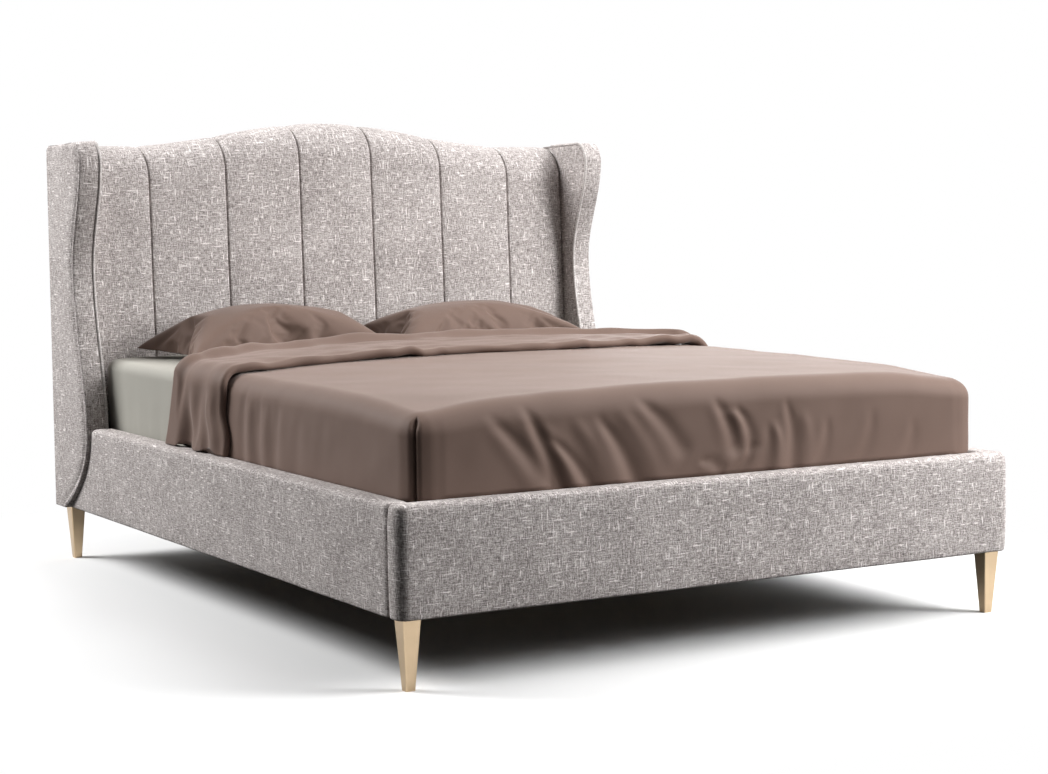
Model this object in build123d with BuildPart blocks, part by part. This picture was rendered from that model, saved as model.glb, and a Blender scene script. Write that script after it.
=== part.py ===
from build123d import *
from math import cos, pi, radians, tan
import os

os.makedirs("parts", exist_ok=True)

# Wingback bed, millimetres. The origin is on the floor under the middle of the bed.
# The foot end looks along -Y, the headboard stands at +Y and +Z is up.

# Overall sizes of the base
bed_width = 1740
bed_length = 2220
floor_gap = 160
rail_height = 252
rail_thickness = 60
footboard_thickness = 55

# Padding and cloth over the boards of the base
outer_pad = 12
top_pad = 12
inner_pad = 3
bottom_pad = 3
foot_corner_radius = 28
board_corner_radius = 16
rail_edge_radius = 11
base_lower_radius = 5
rail_head_radius = 20
rail_end_pad = 8
seat_gap = 0.3

# Wings
wing_thickness = 70
wing_proud = 18
wing_top = 1236
wing_top_depth = 236
wing_crown_depth = 282
wing_crown_height = 1178
wing_waist_depth = 202
wing_waist_height = 868
wing_belly_depth = 283
wing_belly_height = 392
wing_foot_depth = 82
wing_foot_rise_share = 0.5
wing_back_drop = 6
wing_back_radius = 24
wing_edge_radius = 6
wing_pad = 12

# Headboard
shoulder_height = 1230
camel_rise = 72
camel_half_width = 668
channel_pitch = 246
channel_crown = 6
headboard_roll = 112
headboard_top_pad = 50
headboard_rake = 2.6
pad_bottom = 348
pad_depth = 70
panel_thickness = 15
frame_depth = 70
side_gap = 0.5
lining_thickness = 1.5
lining_bottom = 172
lining_set_down = 12
upright_width = 60
wing_bolt_inset = 36
camel_steps = 28
channel_inner_count = 5
channel_swell_shares = ((0, 0), (0.07, 0.62), (0.5, 1), (0.93, 0.62), (1, 0))
stud_width = 45
stud_offset = 250
crossbar_bottom = 190
rib_height = 60

# Mattress, fitted sheet and the gaps round them
mattress_side_gap = 10
mattress_height = 250
mattress_bottom = 355
mattress_corner_radius = 60
mattress_edge_radius = 26
foot_gap = 8
head_gap = 2
sheet_thickness = 1.2
sheet_gap = 0.3
sheet_hem = 12

# Duvet with its turned-back top
duvet_thickness = 14
duvet_crown = 16
duvet_edge_radius = 30
duvet_gap = 1
skirt_thickness = 7
foot_skirt_thickness = 5.5
duvet_hem = 385
duvet_corner_radius = 24
duvet_head_inset = 523
duvet_head_sweep = 200
cuff_front_inset = 893
cuff_front_sweep = 120
cuff_height = 38
cuff_crown = 24
cuff_overhang = 20
cuff_edge_radius = 34
cuff_drop = 4
cuff_roll_radius = 13
fold_radius = 10
fold_foot_radius = 5
pleat_width = 4
pleat_depth = 3.5
pleat_inset = 12
pleat_top_drop = 26
fold_rest = 8
side_fold_height = 165
foot_fold_height = 150
foot_fold_lean = 110
side_fold_shares = (0.16, 0.27, 0.36, 0.45, 0.57)
foot_fold_shares = ((-0.5, -1), (-0.36, -0.9), (-0.21, -0.7), (-0.06, -0.5), (0.07, -0.4), (0.2, -0.1))

# Pillows
pillow_length = 670
pillow_depth = 450
pillow_height = 150
pillow_squash = 14
pillow_draw = 16
pillow_tip = 5
pillow_left_centre = -352
pillow_right_centre = 324
pillow_head_gap = 12
pillow_half_shares = ((0.45, 0.93), (0.78, 0.68), (0.93, 0.34), (1, 0))

# Legs and their studs
leg_top = 45
leg_foot = 23
leg_edge_radius = 3
leg_front_side_inset = 40
leg_front_inset = 40
leg_rear_side_inset = 32
leg_rear_inset = 38
stud_radius = 4
stud_hole_gap = 0.3
stud_in_leg = 25
stud_in_board = 50

# Corner brackets and their bolts
bracket_thickness = 3
bracket_height = 96
bracket_bottom = 195
front_arm = 60
rear_arm = 190
bolt_radius = 4
bolt_head_radius = 8
bolt_head_height = 4
bolt_length = 32
bracket_bolt_inset = 22

# Bolts that hold the wings
wing_bolt_heights = (450, 750, 1050)
wing_bolt_reach = 30

# Ledgers, beam and hangers
ledger_width = 28
ledger_height = 30
beam_width = 62
beam_height = 80
hanger_thickness = 2.5
hanger_reach = 60

# Slats and their caps
slat_count = 13
slat_width = 53
slat_thickness = 8
slat_bow = 6
cap_base = 4
cap_wall = 3
cap_length = 27
cap_fit = 0.3
slat_end_rise = 1
slat_zone_inset = 16
cap_end_gap = 1

# Support legs and their screw feet
support_offset = 350
tube_radius = 16
tube_bore = 13.5
flange_radius = 38
flange_thickness = 4
foot_disc_radius = 24
foot_disc_height = 8
foot_travel = 8
screw_radius = 5
screw_clearance = 0.06
screw_length = 52
insert_height = 20

# Places worked out from the sizes above
half_width = bed_width / 2
foot_y = -bed_length / 2
back_y = bed_length / 2
rail_bottom = floor_gap
rail_top = floor_gap + rail_height
rail_inner_x = half_width - rail_thickness
foot_inner_y = foot_y + footboard_thickness
wing_outer_x = half_width + wing_proud
wing_inner_x = wing_outer_x - wing_thickness
mattress_top = mattress_bottom + mattress_height
panel_back_y = back_y - frame_depth
panel_front_y = panel_back_y - panel_thickness
pad_front_y = panel_front_y - pad_depth
mattress_foot_y = foot_inner_y + foot_gap
mattress_head_y = pad_front_y - head_gap
mattress_length = mattress_head_y - mattress_foot_y
mattress_width = 2 * (rail_inner_x - mattress_side_gap)
duvet_head = mattress_head_y - duvet_head_inset
cuff_front = mattress_head_y - cuff_front_inset
leg_front_x = half_width - leg_front_side_inset
leg_rear_x = half_width - leg_rear_side_inset
lining_front_y = back_y - lining_thickness
frame_back_y = lining_front_y - seat_gap
rail_length = panel_front_y - seat_gap - foot_inner_y
pad_half_width = wing_inner_x - side_gap
rib_bottom = shoulder_height - headboard_top_pad - rib_height
slat_top = mattress_bottom - seat_gap
ledger_top = slat_top - slat_bow - slat_thickness - cap_base - cap_fit
slat_zone = (foot_inner_y + slat_zone_inset, mattress_head_y - slat_zone_inset)
wing_bolt_y = back_y - wing_bolt_inset
pillow_sections = [(-place, swell) for place, swell in reversed(pillow_half_shares)]
pillow_sections = [*pillow_sections, (0, 1), *pillow_half_shares]


def span_box(x_span, y_span, z_span, mode=Mode.ADD):
    """A block between two values on each axis."""
    spans = (x_span, y_span, z_span)
    with Locations(tuple((low + high) / 2 for low, high in spans)):
        Box(*(high - low for low, high in spans), mode=mode)


def side_span(sign, inner, outer):
    """The X values between inner and outer on the left (-1) or right (1) side."""
    return tuple(sorted((sign * inner, sign * outer)))


def camel(x):
    """Height of the headboard's top line at x."""
    if abs(x) >= camel_half_width:
        return shoulder_height
    return shoulder_height + camel_rise * (1 + cos(pi * x / camel_half_width)) / 2


def save(piece, name):
    """Label a finished piece and write it as its own file."""
    piece.part.label = name
    export_step(piece.part, f"parts/{name}.step")


def rod_along_x(x_span, y, z, radius, mode=Mode.ADD):
    """A round bar or hole along X between two values."""
    with BuildSketch(Plane.YZ.offset(x_span[0])) as disc:
        with Locations((y, z)):
            Circle(radius)
    extrude(disc.sketch, amount=x_span[1] - x_span[0], mode=mode)


def rod_along_y(y_span, x, z, radius, mode=Mode.ADD):
    """A round bar or hole along Y between two values."""
    with BuildSketch(Plane.XZ.offset(-y_span[0])) as disc:
        with Locations((x, z)):
            Circle(radius)
    extrude(disc.sketch, amount=y_span[0] - y_span[1], mode=mode)


def rod_along_z(z_span, x, y, radius, mode=Mode.ADD):
    """A round bar or hole along Z between two values."""
    with BuildSketch(Plane.XY.offset(z_span[0])) as disc:
        with Locations((x, y)):
            Circle(radius)
    extrude(disc.sketch, amount=z_span[1] - z_span[0], mode=mode)


def wing_shape(grow):
    """Side outline of a wing, all of it moved outwards by grow."""
    top = (back_y - wing_top_depth - grow, wing_top + grow)
    crown = (back_y - wing_crown_depth - grow, wing_crown_height)
    waist = (back_y - wing_waist_depth - grow, wing_waist_height)
    belly = (back_y - wing_belly_depth - grow, wing_belly_height)
    foot = (back_y - wing_foot_depth - grow, rail_bottom - grow)
    back_corner = (back_y + grow, wing_top - wing_back_drop + grow)
    with BuildSketch() as outline:
        with BuildLine():
            Polyline(foot, (back_y + grow, rail_bottom - grow), back_corner, top)
            Spline(top, crown, tangents=((top[0] - back_corner[0], top[1] - back_corner[1]), (0, -1)))
            Spline(crown, waist, tangents=((0, -1), (0, -1)))
            Spline(waist, belly, tangents=((0, -1), (0, -1)))
            Spline(belly, foot, tangents=((0, -1), (1, -wing_foot_rise_share)))
        make_face()
        fillet(outline.vertices().group_by(Axis.X)[-1].sort_by(Axis.Y)[-1], wing_back_radius)
    return outline.sketch


wing_face = wing_shape(0)
wing_core_face = wing_shape(-wing_pad)
rail_cut_face = wing_shape(seat_gap)
board_cut_face = wing_shape(rail_end_pad)


def leg_places():
    """Name and centre of each leg."""
    for side, sign in (("left", -1), ("right", 1)):
        yield f"front_{side}", sign * leg_front_x, foot_y + leg_front_inset
        yield f"rear_{side}", sign * leg_rear_x, back_y - leg_rear_inset


def stud_holes():
    """Clearance holes for the leg studs, open at the underside of the base."""
    for _, x, y in leg_places():
        hole = (rail_bottom - seat_gap, rail_bottom + stud_in_board + stud_hole_gap)
        rod_along_z(hole, x, y, stud_radius + stud_hole_gap, Mode.SUBTRACT)


def wing_bolt_span(sign, spare):
    """X values of a wing bolt's shank, from the upright's inner face into the wing's core."""
    start = wing_inner_x - side_gap - upright_width
    return side_span(sign, start - spare, wing_inner_x + wing_pad + wing_bolt_reach + spare)


def wing_bolt_holes(sign):
    """Holes for the bolts that join an upright and its wing."""
    hole = wing_bolt_span(sign, stud_hole_gap)
    for z in wing_bolt_heights:
        rod_along_x(hole, wing_bolt_y, z, bolt_radius + stud_hole_gap, Mode.SUBTRACT)


def bracket_places():
    """Corner name, side, direction of the rail along Y, arm along the rail and wall of each bracket."""
    for side, sign in (("left", -1), ("right", 1)):
        yield f"front_{side}", sign, 1, front_arm, foot_inner_y
        yield f"rear_{side}", sign, -1, rear_arm, panel_front_y


def bracket_bolts(sign, way, arm, wall_y):
    """Axis, centre and direction of the four bolts of one corner bracket."""
    low = bracket_bottom + bracket_bolt_inset
    high = bracket_bottom + bracket_height - bracket_bolt_inset
    for z in (low, high):
        yield "x", sign * rail_inner_x, wall_y + way * (arm - bracket_bolt_inset), z
        yield "y", sign * (rail_inner_x - front_arm + bracket_bolt_inset), wall_y, z


def bolt_rod(axis, sign, way, x, y, z, inner, outer, radius, mode):
    """A round bar or hole from inner to outer, counted from the wall into the board."""
    if axis == "x":
        rod_along_x(tuple(sorted((x + sign * inner, x + sign * outer))), y, z, radius, mode)
    else:
        rod_along_y(tuple(sorted((y - way * inner, y - way * outer))), x, z, radius, mode)


def bracket_bolt_holes():
    """Holes for every corner bracket's bolts."""
    for _, sign, way, arm, wall_y in bracket_places():
        for axis, x, y, z in bracket_bolts(sign, way, arm, wall_y):
            reach = bolt_length + stud_hole_gap
            bolt_rod(axis, sign, way, x, y, z, -seat_gap, reach, bolt_radius + stud_hole_gap, Mode.SUBTRACT)


# Side rails: a board in a padded cover, its head end cut to the wing's belly
for side, sign in (("left", -1), ("right", 1)):
    board_x = side_span(sign, rail_inner_x + inner_pad, half_width - outer_pad)
    cover_x = side_span(sign, rail_inner_x, half_width)

    with BuildPart() as rail_board:
        with BuildSketch(Plane.YZ.offset(board_x[0])):
            with Locations((foot_inner_y, rail_bottom + bottom_pad)):
                Rectangle(rail_length, rail_height - bottom_pad - top_pad, align=(Align.MIN, Align.MIN))
            add(board_cut_face, mode=Mode.SUBTRACT)
        extrude(amount=board_x[1] - board_x[0])
        board_blank = rail_board.part
        bracket_bolt_holes()
    save(rail_board, f"side_rail_{side}_board")

    with BuildPart() as rail_cover:
        with BuildSketch(Plane.YZ.offset(cover_x[0])) as cover_profile:
            with Locations((foot_inner_y, rail_bottom)):
                Rectangle(rail_length, rail_height, align=(Align.MIN, Align.MIN))
            add(rail_cut_face, mode=Mode.SUBTRACT)
            head_corner = cover_profile.vertices().group_by(Axis.Y)[-1].sort_by(Axis.X)[-1]
            fillet(head_corner, rail_head_radius)
        extrude(amount=cover_x[1] - cover_x[0])
        with BuildSketch(Plane.XZ.offset(-foot_inner_y)) as across:
            with Locations((cover_x[0], rail_bottom)):
                Rectangle(rail_thickness, rail_height, align=(Align.MIN, Align.MIN))
            fillet(across.vertices().group_by(Axis.Y)[-1], rail_edge_radius)
            fillet(across.vertices().group_by(Axis.Y)[0], base_lower_radius)
        extrude(amount=-rail_length, mode=Mode.INTERSECT)
        add(board_blank, mode=Mode.SUBTRACT)
        bracket_bolt_holes()
    save(rail_cover, f"side_rail_{side}_cover")

# Footboard: a board in a padded cover that turns both front corners
with BuildPart() as footboard_board:
    span_box(
        (-half_width + outer_pad, half_width - outer_pad),
        (foot_y + outer_pad, foot_inner_y - inner_pad),
        (rail_bottom + bottom_pad, rail_top - top_pad),
    )
    fillet(footboard_board.edges().filter_by(Axis.Z).group_by(Axis.Y)[0], board_corner_radius)
    footboard_blank = footboard_board.part
    stud_holes()
    bracket_bolt_holes()
save(footboard_board, "footboard_board")

with BuildPart() as footboard_cover:
    span_box((-half_width, half_width), (foot_y, foot_inner_y), (rail_bottom, rail_top))
    fillet(footboard_cover.edges().filter_by(Axis.Z).group_by(Axis.Y)[0], foot_corner_radius)
    fillet(footboard_cover.edges().group_by(Axis.Z)[-1], rail_edge_radius)
    fillet(footboard_cover.faces().sort_by(Axis.Z)[0].edges().filter_by(GeomType.LINE), base_lower_radius)
    add(footboard_blank, mode=Mode.SUBTRACT)
    stud_holes()
    bracket_bolt_holes()
save(footboard_cover, "footboard_cover")

# Wings: a timber core in a boxed, padded cover
for side, sign in (("left", -1), ("right", 1)):
    cover_x = side_span(sign, wing_inner_x, wing_outer_x)
    core_x = side_span(sign, wing_inner_x + wing_pad, wing_outer_x - wing_pad)

    with BuildPart() as wing_core:
        with BuildSketch(Plane.YZ.offset(core_x[0])):
            add(wing_core_face)
        extrude(amount=core_x[1] - core_x[0])
        core_blank = wing_core.part
        stud_holes()
        wing_bolt_holes(sign)
    save(wing_core, f"wing_{side}_core")

    with BuildPart() as wing_cover:
        with BuildSketch(Plane.YZ.offset(cover_x[0])):
            add(wing_face)
        extrude(amount=cover_x[1] - cover_x[0])
        rims = wing_cover.faces().filter_by(Axis.X).edges()
        fillet(rims, wing_edge_radius)
        add(core_blank, mode=Mode.SUBTRACT)
        stud_holes()
        wing_bolt_holes(sign)
    save(wing_cover, f"wing_{side}_cover")

with BuildPart() as wing_bolts:
    for sign in (-1, 1):
        for z in wing_bolt_heights:
            shank = wing_bolt_span(sign, 0)
            rod_along_x(shank, wing_bolt_y, z, bolt_radius)
            head_inner = wing_inner_x - side_gap - upright_width
            head = side_span(sign, head_inner - bolt_head_height, head_inner)
            rod_along_x(head, wing_bolt_y, z, bolt_head_radius)
save(wing_bolts, "wing_bolts")

# Headboard pad: seven upright channels that roll over the camel-back top
channel_edges = [channel_pitch * (step - channel_inner_count / 2) for step in range(channel_inner_count + 1)]
channel_edges = [-pad_half_width, *channel_edges, pad_half_width]


def pad_section(x, swell_share):
    """Cross-section of the pad at x: rolled top, raked front and a step over the panel."""
    dip = channel_crown * (1 - swell_share)
    top = camel(x) - dip / 2
    inside = camel(x) - headboard_top_pad
    roll_start = top - headboard_roll
    front = pad_front_y + dip
    lean = (roll_start - mattress_top) * tan(radians(headboard_rake))
    with BuildSketch(Plane.YZ.offset(x)) as section:
        with BuildLine():
            Polyline((panel_front_y, inside), (panel_front_y, pad_bottom), (front, pad_bottom))
            Line((front, pad_bottom), (front, mattress_top))
            rake = Line((front, mattress_top), (front + lean, roll_start))
            roll_end = (front + lean + headboard_roll, top)
            TangentArc((front + lean, roll_start), roll_end, tangent=rake % 1)
            Polyline(roll_end, (frame_back_y, top), (frame_back_y, inside), (panel_front_y, inside))
        make_face()
    return section.sketch.face()


with BuildPart() as headboard_pad:
    for left, right in zip(channel_edges, channel_edges[1:]):
        places = [(left + (right - left) * share, swell) for share, swell in channel_swell_shares]
        loft([pad_section(x, swell) for x, swell in places])
save(headboard_pad, "headboard_pad")


def camel_line(drop, x_reach):
    """The headboard's top line, lowered, from one side to the other."""
    places = [x_reach * (2 * step / camel_steps - 1) for step in range(camel_steps + 1)]
    return [(x, camel(x) - drop) for x in places]


def camel_slab(y_span, bottom, drop, x_reach, mode=Mode.ADD):
    """A flat piece across the headboard with a camel-back top edge."""
    top_points = camel_line(drop, x_reach)
    with BuildSketch(Plane.XZ.offset(-y_span[0])) as outline:
        with BuildLine():
            Spline(*top_points)
            Polyline(top_points[0], (-x_reach, bottom), (x_reach, bottom), top_points[-1])
        make_face()
    extrude(outline.sketch, amount=y_span[0] - y_span[1], mode=mode)


with BuildPart() as headboard_panel:
    camel_slab((panel_front_y, panel_back_y), pad_bottom, headboard_top_pad + side_gap, pad_half_width)
save(headboard_panel, "headboard_panel")

with BuildPart() as headboard_top_rib:
    camel_slab((panel_back_y, frame_back_y), rib_bottom, headboard_top_pad + side_gap, pad_half_width)
save(headboard_top_rib, "headboard_top_rib")

with BuildPart() as headboard_back_lining:
    camel_slab((lining_front_y, back_y), lining_bottom, lining_set_down, pad_half_width)
save(headboard_back_lining, "headboard_back_lining")

for side, sign in (("left", -1), ("right", 1)):
    with BuildPart() as upright:
        span_box(
            side_span(sign, pad_half_width - upright_width, pad_half_width),
            (panel_back_y, frame_back_y),
            (rail_bottom, rib_bottom),
        )
        span_box(
            side_span(sign, pad_half_width - upright_width, pad_half_width),
            (panel_front_y, panel_back_y),
            (rail_bottom, pad_bottom),
        )
        wing_bolt_holes(sign)
        bracket_bolt_holes()
    save(upright, f"headboard_upright_{side}")

    with BuildPart() as stud:
        span_box(
            side_span(sign, stud_offset - stud_width / 2, stud_offset + stud_width / 2),
            (panel_back_y, frame_back_y),
            (pad_bottom, rib_bottom),
        )
    save(stud, f"headboard_stud_{side}")

with BuildPart() as crossbar:
    span_box(
        (-pad_half_width + upright_width, pad_half_width - upright_width),
        (panel_front_y, frame_back_y),
        (crossbar_bottom, pad_bottom),
    )
save(crossbar, "headboard_crossbar")

# Corner brackets: steel angles inside the corners, and the bolts through them
for corner, sign, way, arm, wall_y in bracket_places():
    z_span = (bracket_bottom, bracket_bottom + bracket_height)
    with BuildPart() as bracket:
        span_box(
            side_span(sign, rail_inner_x - bracket_thickness, rail_inner_x),
            tuple(sorted((wall_y, wall_y + way * arm))),
            z_span,
        )
        span_box(
            side_span(sign, rail_inner_x - front_arm, rail_inner_x),
            tuple(sorted((wall_y, wall_y + way * bracket_thickness))),
            z_span,
        )
        for axis, x, y, z in bracket_bolts(sign, way, arm, wall_y):
            past = bracket_thickness + seat_gap
            bolt_rod(axis, sign, way, x, y, z, -past, seat_gap, bolt_radius + stud_hole_gap, Mode.SUBTRACT)
    save(bracket, f"corner_bracket_{corner}")

with BuildPart() as corner_bolts:
    for _, sign, way, arm, wall_y in bracket_places():
        for axis, x, y, z in bracket_bolts(sign, way, arm, wall_y):
            bolt_rod(axis, sign, way, x, y, z, -bracket_thickness, bolt_length, bolt_radius, Mode.ADD)
            head_top = -bracket_thickness - bolt_head_height
            bolt_rod(axis, sign, way, x, y, z, head_top, -bracket_thickness, bolt_head_radius, Mode.ADD)
save(corner_bolts, "corner_bolts")

# Legs: square, tapered to the floor, each on a stud in the board above it
for corner, x, y in leg_places():
    with BuildPart() as leg:
        for size, height in ((leg_foot, 0), (leg_top, floor_gap)):
            with BuildSketch(Plane.XY.offset(height)):
                with Locations((x, y)):
                    RectangleRounded(size, size, leg_edge_radius)
        loft()
        hole = (floor_gap - stud_in_leg - stud_hole_gap, floor_gap + seat_gap)
        rod_along_z(hole, x, y, stud_radius + stud_hole_gap, Mode.SUBTRACT)
    save(leg, f"leg_{corner}")

with BuildPart() as leg_studs:
    for _, x, y in leg_places():
        rod_along_z((floor_gap - stud_in_leg, floor_gap + stud_in_board), x, y, stud_radius)
save(leg_studs, "leg_studs")

# Ledgers along the rails, the centre beam and the hangers that hold its ends
for side, sign in (("left", -1), ("right", 1)):
    with BuildPart() as ledger:
        span_box(
            side_span(sign, rail_inner_x - ledger_width, rail_inner_x),
            (slat_zone[0], slat_zone[1]),
            (ledger_top - ledger_height, ledger_top),
        )
    save(ledger, f"ledger_{side}")

with BuildPart() as centre_beam:
    span_box(
        (-beam_width / 2, beam_width / 2),
        (foot_inner_y + hanger_thickness, panel_front_y - hanger_thickness),
        (ledger_top - beam_height, ledger_top),
    )
save(centre_beam, "centre_beam")

for end, wall_y, way in (("foot", foot_inner_y, 1), ("head", panel_front_y, -1)):
    outer_x = beam_width / 2 + hanger_thickness
    low_z = ledger_top - beam_height - hanger_thickness
    with BuildPart() as hanger:
        span_box(
            (-outer_x, outer_x),
            tuple(sorted((wall_y, wall_y + way * hanger_reach))),
            (low_z, ledger_top - beam_height / 3),
        )
        span_box(
            (-beam_width / 2, beam_width / 2),
            tuple(sorted((wall_y + way * hanger_thickness, wall_y + way * (hanger_reach + seat_gap)))),
            (ledger_top - beam_height, ledger_top),
            Mode.SUBTRACT,
        )
    save(hanger, f"beam_hanger_{end}")

# Sprung slats in two rows, each slat bowed upwards, in plastic caps
slat_inner_x = cap_end_gap + cap_wall + cap_fit
slat_outer_x = rail_inner_x - cap_end_gap - cap_wall - cap_fit
slat_low = ledger_top + cap_base + cap_fit
slat_pitch = (slat_zone[1] - slat_zone[0] - slat_width - 2 * cap_wall - 2 * cap_fit) / (slat_count - 1)
first_slat = slat_zone[0] + slat_width / 2 + cap_wall + cap_fit
slat_places = [first_slat + slat_pitch * step for step in range(slat_count)]


def cap_row(x_span, open_side):
    """One row of caps, each with a pocket open towards the middle of its slats."""
    side_room = slat_width / 2 + cap_fit + cap_wall
    for y in slat_places:
        top = slat_low + slat_thickness + slat_end_rise + cap_fit + cap_wall
        span_box(x_span, (y - side_room, y + side_room), (ledger_top, top))
        pocket_y = (y - side_room + cap_wall, y + side_room - cap_wall)
        if open_side > 0:
            pocket_x = (x_span[0] + cap_wall, x_span[1] + seat_gap)
        else:
            pocket_x = (x_span[0] - seat_gap, x_span[1] - cap_wall)
        span_box(pocket_x, pocket_y, (ledger_top + cap_base, top - cap_wall), Mode.SUBTRACT)


for side, sign in (("left", -1), ("right", 1)):
    with BuildPart() as slats:
        inner_x = sign * slat_inner_x
        outer_x = sign * slat_outer_x
        middle_x = (inner_x + outer_x) / 2
        with BuildSketch(Plane.XZ.offset(-slat_places[0] + slat_width / 2)):
            with BuildLine():
                ThreePointArc((inner_x, slat_low), (middle_x, slat_low + slat_bow), (outer_x, slat_low))
                Line((outer_x, slat_low), (outer_x, slat_low + slat_thickness))
                ThreePointArc(
                    (outer_x, slat_low + slat_thickness),
                    (middle_x, slat_low + slat_bow + slat_thickness),
                    (inner_x, slat_low + slat_thickness),
                )
                Line((inner_x, slat_low + slat_thickness), (inner_x, slat_low))
            make_face()
        extrude(amount=-slat_width)
        one_slat = slats.part
        for step in range(1, slat_count):
            add(one_slat.moved(Location((0, slat_pitch * step, 0))))
    save(slats, f"slats_{side}")

    with BuildPart() as ledger_caps:
        cap_row(side_span(sign, rail_inner_x - cap_end_gap - cap_length, rail_inner_x - cap_end_gap), -sign)
    save(ledger_caps, f"slat_caps_{side}")

    with BuildPart() as beam_caps:
        cap_row(side_span(sign, cap_end_gap, cap_end_gap + cap_length), sign)
    save(beam_caps, f"slat_caps_beam_{side}")

# Support legs under the beam, each with a screw foot that levels it
tube_top = ledger_top - beam_height
tube_bottom = foot_disc_height + foot_travel
for end, y in (("foot", -support_offset), ("head", support_offset)):
    with BuildPart() as support:
        rod_along_z((tube_bottom, tube_top), 0, y, tube_radius)
        rod_along_z((tube_top - flange_thickness, tube_top), 0, y, flange_radius)
        rod_along_z((tube_bottom, tube_top - flange_thickness), 0, y, tube_bore, Mode.SUBTRACT)
        insert = (tube_bottom, tube_bottom + insert_height)
        rod_along_z(insert, 0, y, tube_bore)
        rod_along_z(insert, 0, y, screw_radius + screw_clearance, Mode.SUBTRACT)
    save(support, f"support_leg_{end}")

    with BuildPart() as screw_foot:
        rod_along_z((0, foot_disc_height), 0, y, foot_disc_radius)
        fillet(screw_foot.edges().group_by(Axis.Z)[-1], foot_disc_height / 3)
        rod_along_z((0, screw_length), 0, y, screw_radius)
    save(screw_foot, f"screw_foot_{end}")

# Mattress and its fitted sheet
sheet_step = sheet_thickness + sheet_gap
mattress_x = mattress_width / 2


def rounded_block(inset, bottom, top):
    """A block with the mattress's rounded corners and edges, smaller by the inset."""
    span_box(
        (-mattress_x + inset, mattress_x - inset),
        (mattress_foot_y + inset, mattress_head_y - inset),
        (bottom, top),
    )


with BuildPart() as mattress:
    rounded_block(sheet_step, mattress_bottom, mattress_top - sheet_step)
    fillet(mattress.edges().filter_by(Axis.Z), mattress_corner_radius - sheet_step)
    fillet(mattress.edges().group_by(Axis.Z)[-1], mattress_edge_radius - sheet_step)
    fillet(mattress.edges().group_by(Axis.Z)[0], mattress_edge_radius - sheet_step)
save(mattress, "mattress")

with BuildPart() as sheet_inside:
    rounded_block(sheet_thickness, mattress_bottom, mattress_top - sheet_thickness)
    fillet(sheet_inside.edges().filter_by(Axis.Z), mattress_corner_radius - sheet_thickness)
    fillet(sheet_inside.edges().group_by(Axis.Z)[-1], mattress_edge_radius - sheet_thickness)

with BuildPart() as fitted_sheet:
    rounded_block(0, mattress_bottom + mattress_edge_radius, mattress_top)
    fillet(fitted_sheet.edges().filter_by(Axis.Z), mattress_corner_radius)
    fillet(fitted_sheet.edges().group_by(Axis.Z)[-1], mattress_edge_radius)
    add(sheet_inside.part, mode=Mode.SUBTRACT)
save(fitted_sheet, "fitted_sheet")

# Duvet: tucked down inside the rails and the footboard, with its top turned back as a cuff
duvet_under = mattress_top + seat_gap
duvet_inner_x = mattress_x + duvet_gap
duvet_outer_x = duvet_inner_x + skirt_thickness
duvet_foot_y = mattress_foot_y - duvet_gap - foot_skirt_thickness
duvet_shoulder = duvet_under + duvet_thickness
cuff_outer_x = half_width - rail_thickness + cuff_overhang
cuff_shoulder = duvet_under + cuff_height


def crowned_outline(half, bottom, shoulder, crown, radius):
    """A cross-section with upright sides, rounded shoulders and a crowned top."""
    with BuildLine() as edge:
        Polyline((-half, shoulder - radius), (-half, bottom), (half, bottom), (half, shoulder - radius))
        TangentArc((half, shoulder - radius), (half - radius, shoulder), tangent=(0, 1))
        Spline(
            (half - radius, shoulder),
            (0, shoulder + crown),
            (radius - half, shoulder),
            tangents=((-1, 0), (-1, 0)),
        )
        TangentArc((-half, shoulder - radius), (radius - half, shoulder), tangent=(0, 1))
    make_face(edge.edges())


def swept_band(front, front_sweep):
    """Plan outline from a curved front edge to the curved head edge of the duvet."""
    side_y = duvet_head - duvet_head_sweep
    with BuildLine() as edge:
        ThreePointArc((-cuff_outer_x, side_y), (0, duvet_head), (cuff_outer_x, side_y))
        Line((cuff_outer_x, side_y), (cuff_outer_x, front - front_sweep))
        ThreePointArc((cuff_outer_x, front - front_sweep), (0, front), (-cuff_outer_x, front - front_sweep))
        Line((-cuff_outer_x, front - front_sweep), (-cuff_outer_x, side_y))
    make_face(edge.edges())


def fold(start, end):
    """A soft fold: a tapered round ridge half sunk in the cloth, blunt at both ends."""
    run = Edge.make_line(start, end)
    rounds = []
    for share, size in ((0, fold_foot_radius), (0.5, fold_radius), (1, fold_foot_radius)):
        with BuildSketch(Plane(run @ share, z_dir=run % share)) as disc:
            Circle(size)
        rounds.append(disc.sketch.face())
    loft(rounds)


with BuildPart() as duvet_cuff:
    with BuildSketch(Plane.XY.offset(rail_top + cuff_drop)):
        swept_band(cuff_front, cuff_front_sweep)
    extrude(amount=mattress_height * 2)
    with BuildSketch(Plane.XZ.offset(-duvet_head)):
        crowned_outline(cuff_outer_x, rail_top + cuff_drop, cuff_shoulder, cuff_crown, cuff_edge_radius)
    extrude(amount=mattress_length, mode=Mode.INTERSECT)
    walls = duvet_cuff.faces().filter_by(GeomType.CYLINDER).sort_by(SortBy.AREA)[-2:]
    fillet([wall.edges().sort_by(Axis.Z)[-1] for wall in walls], cuff_roll_radius)

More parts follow.
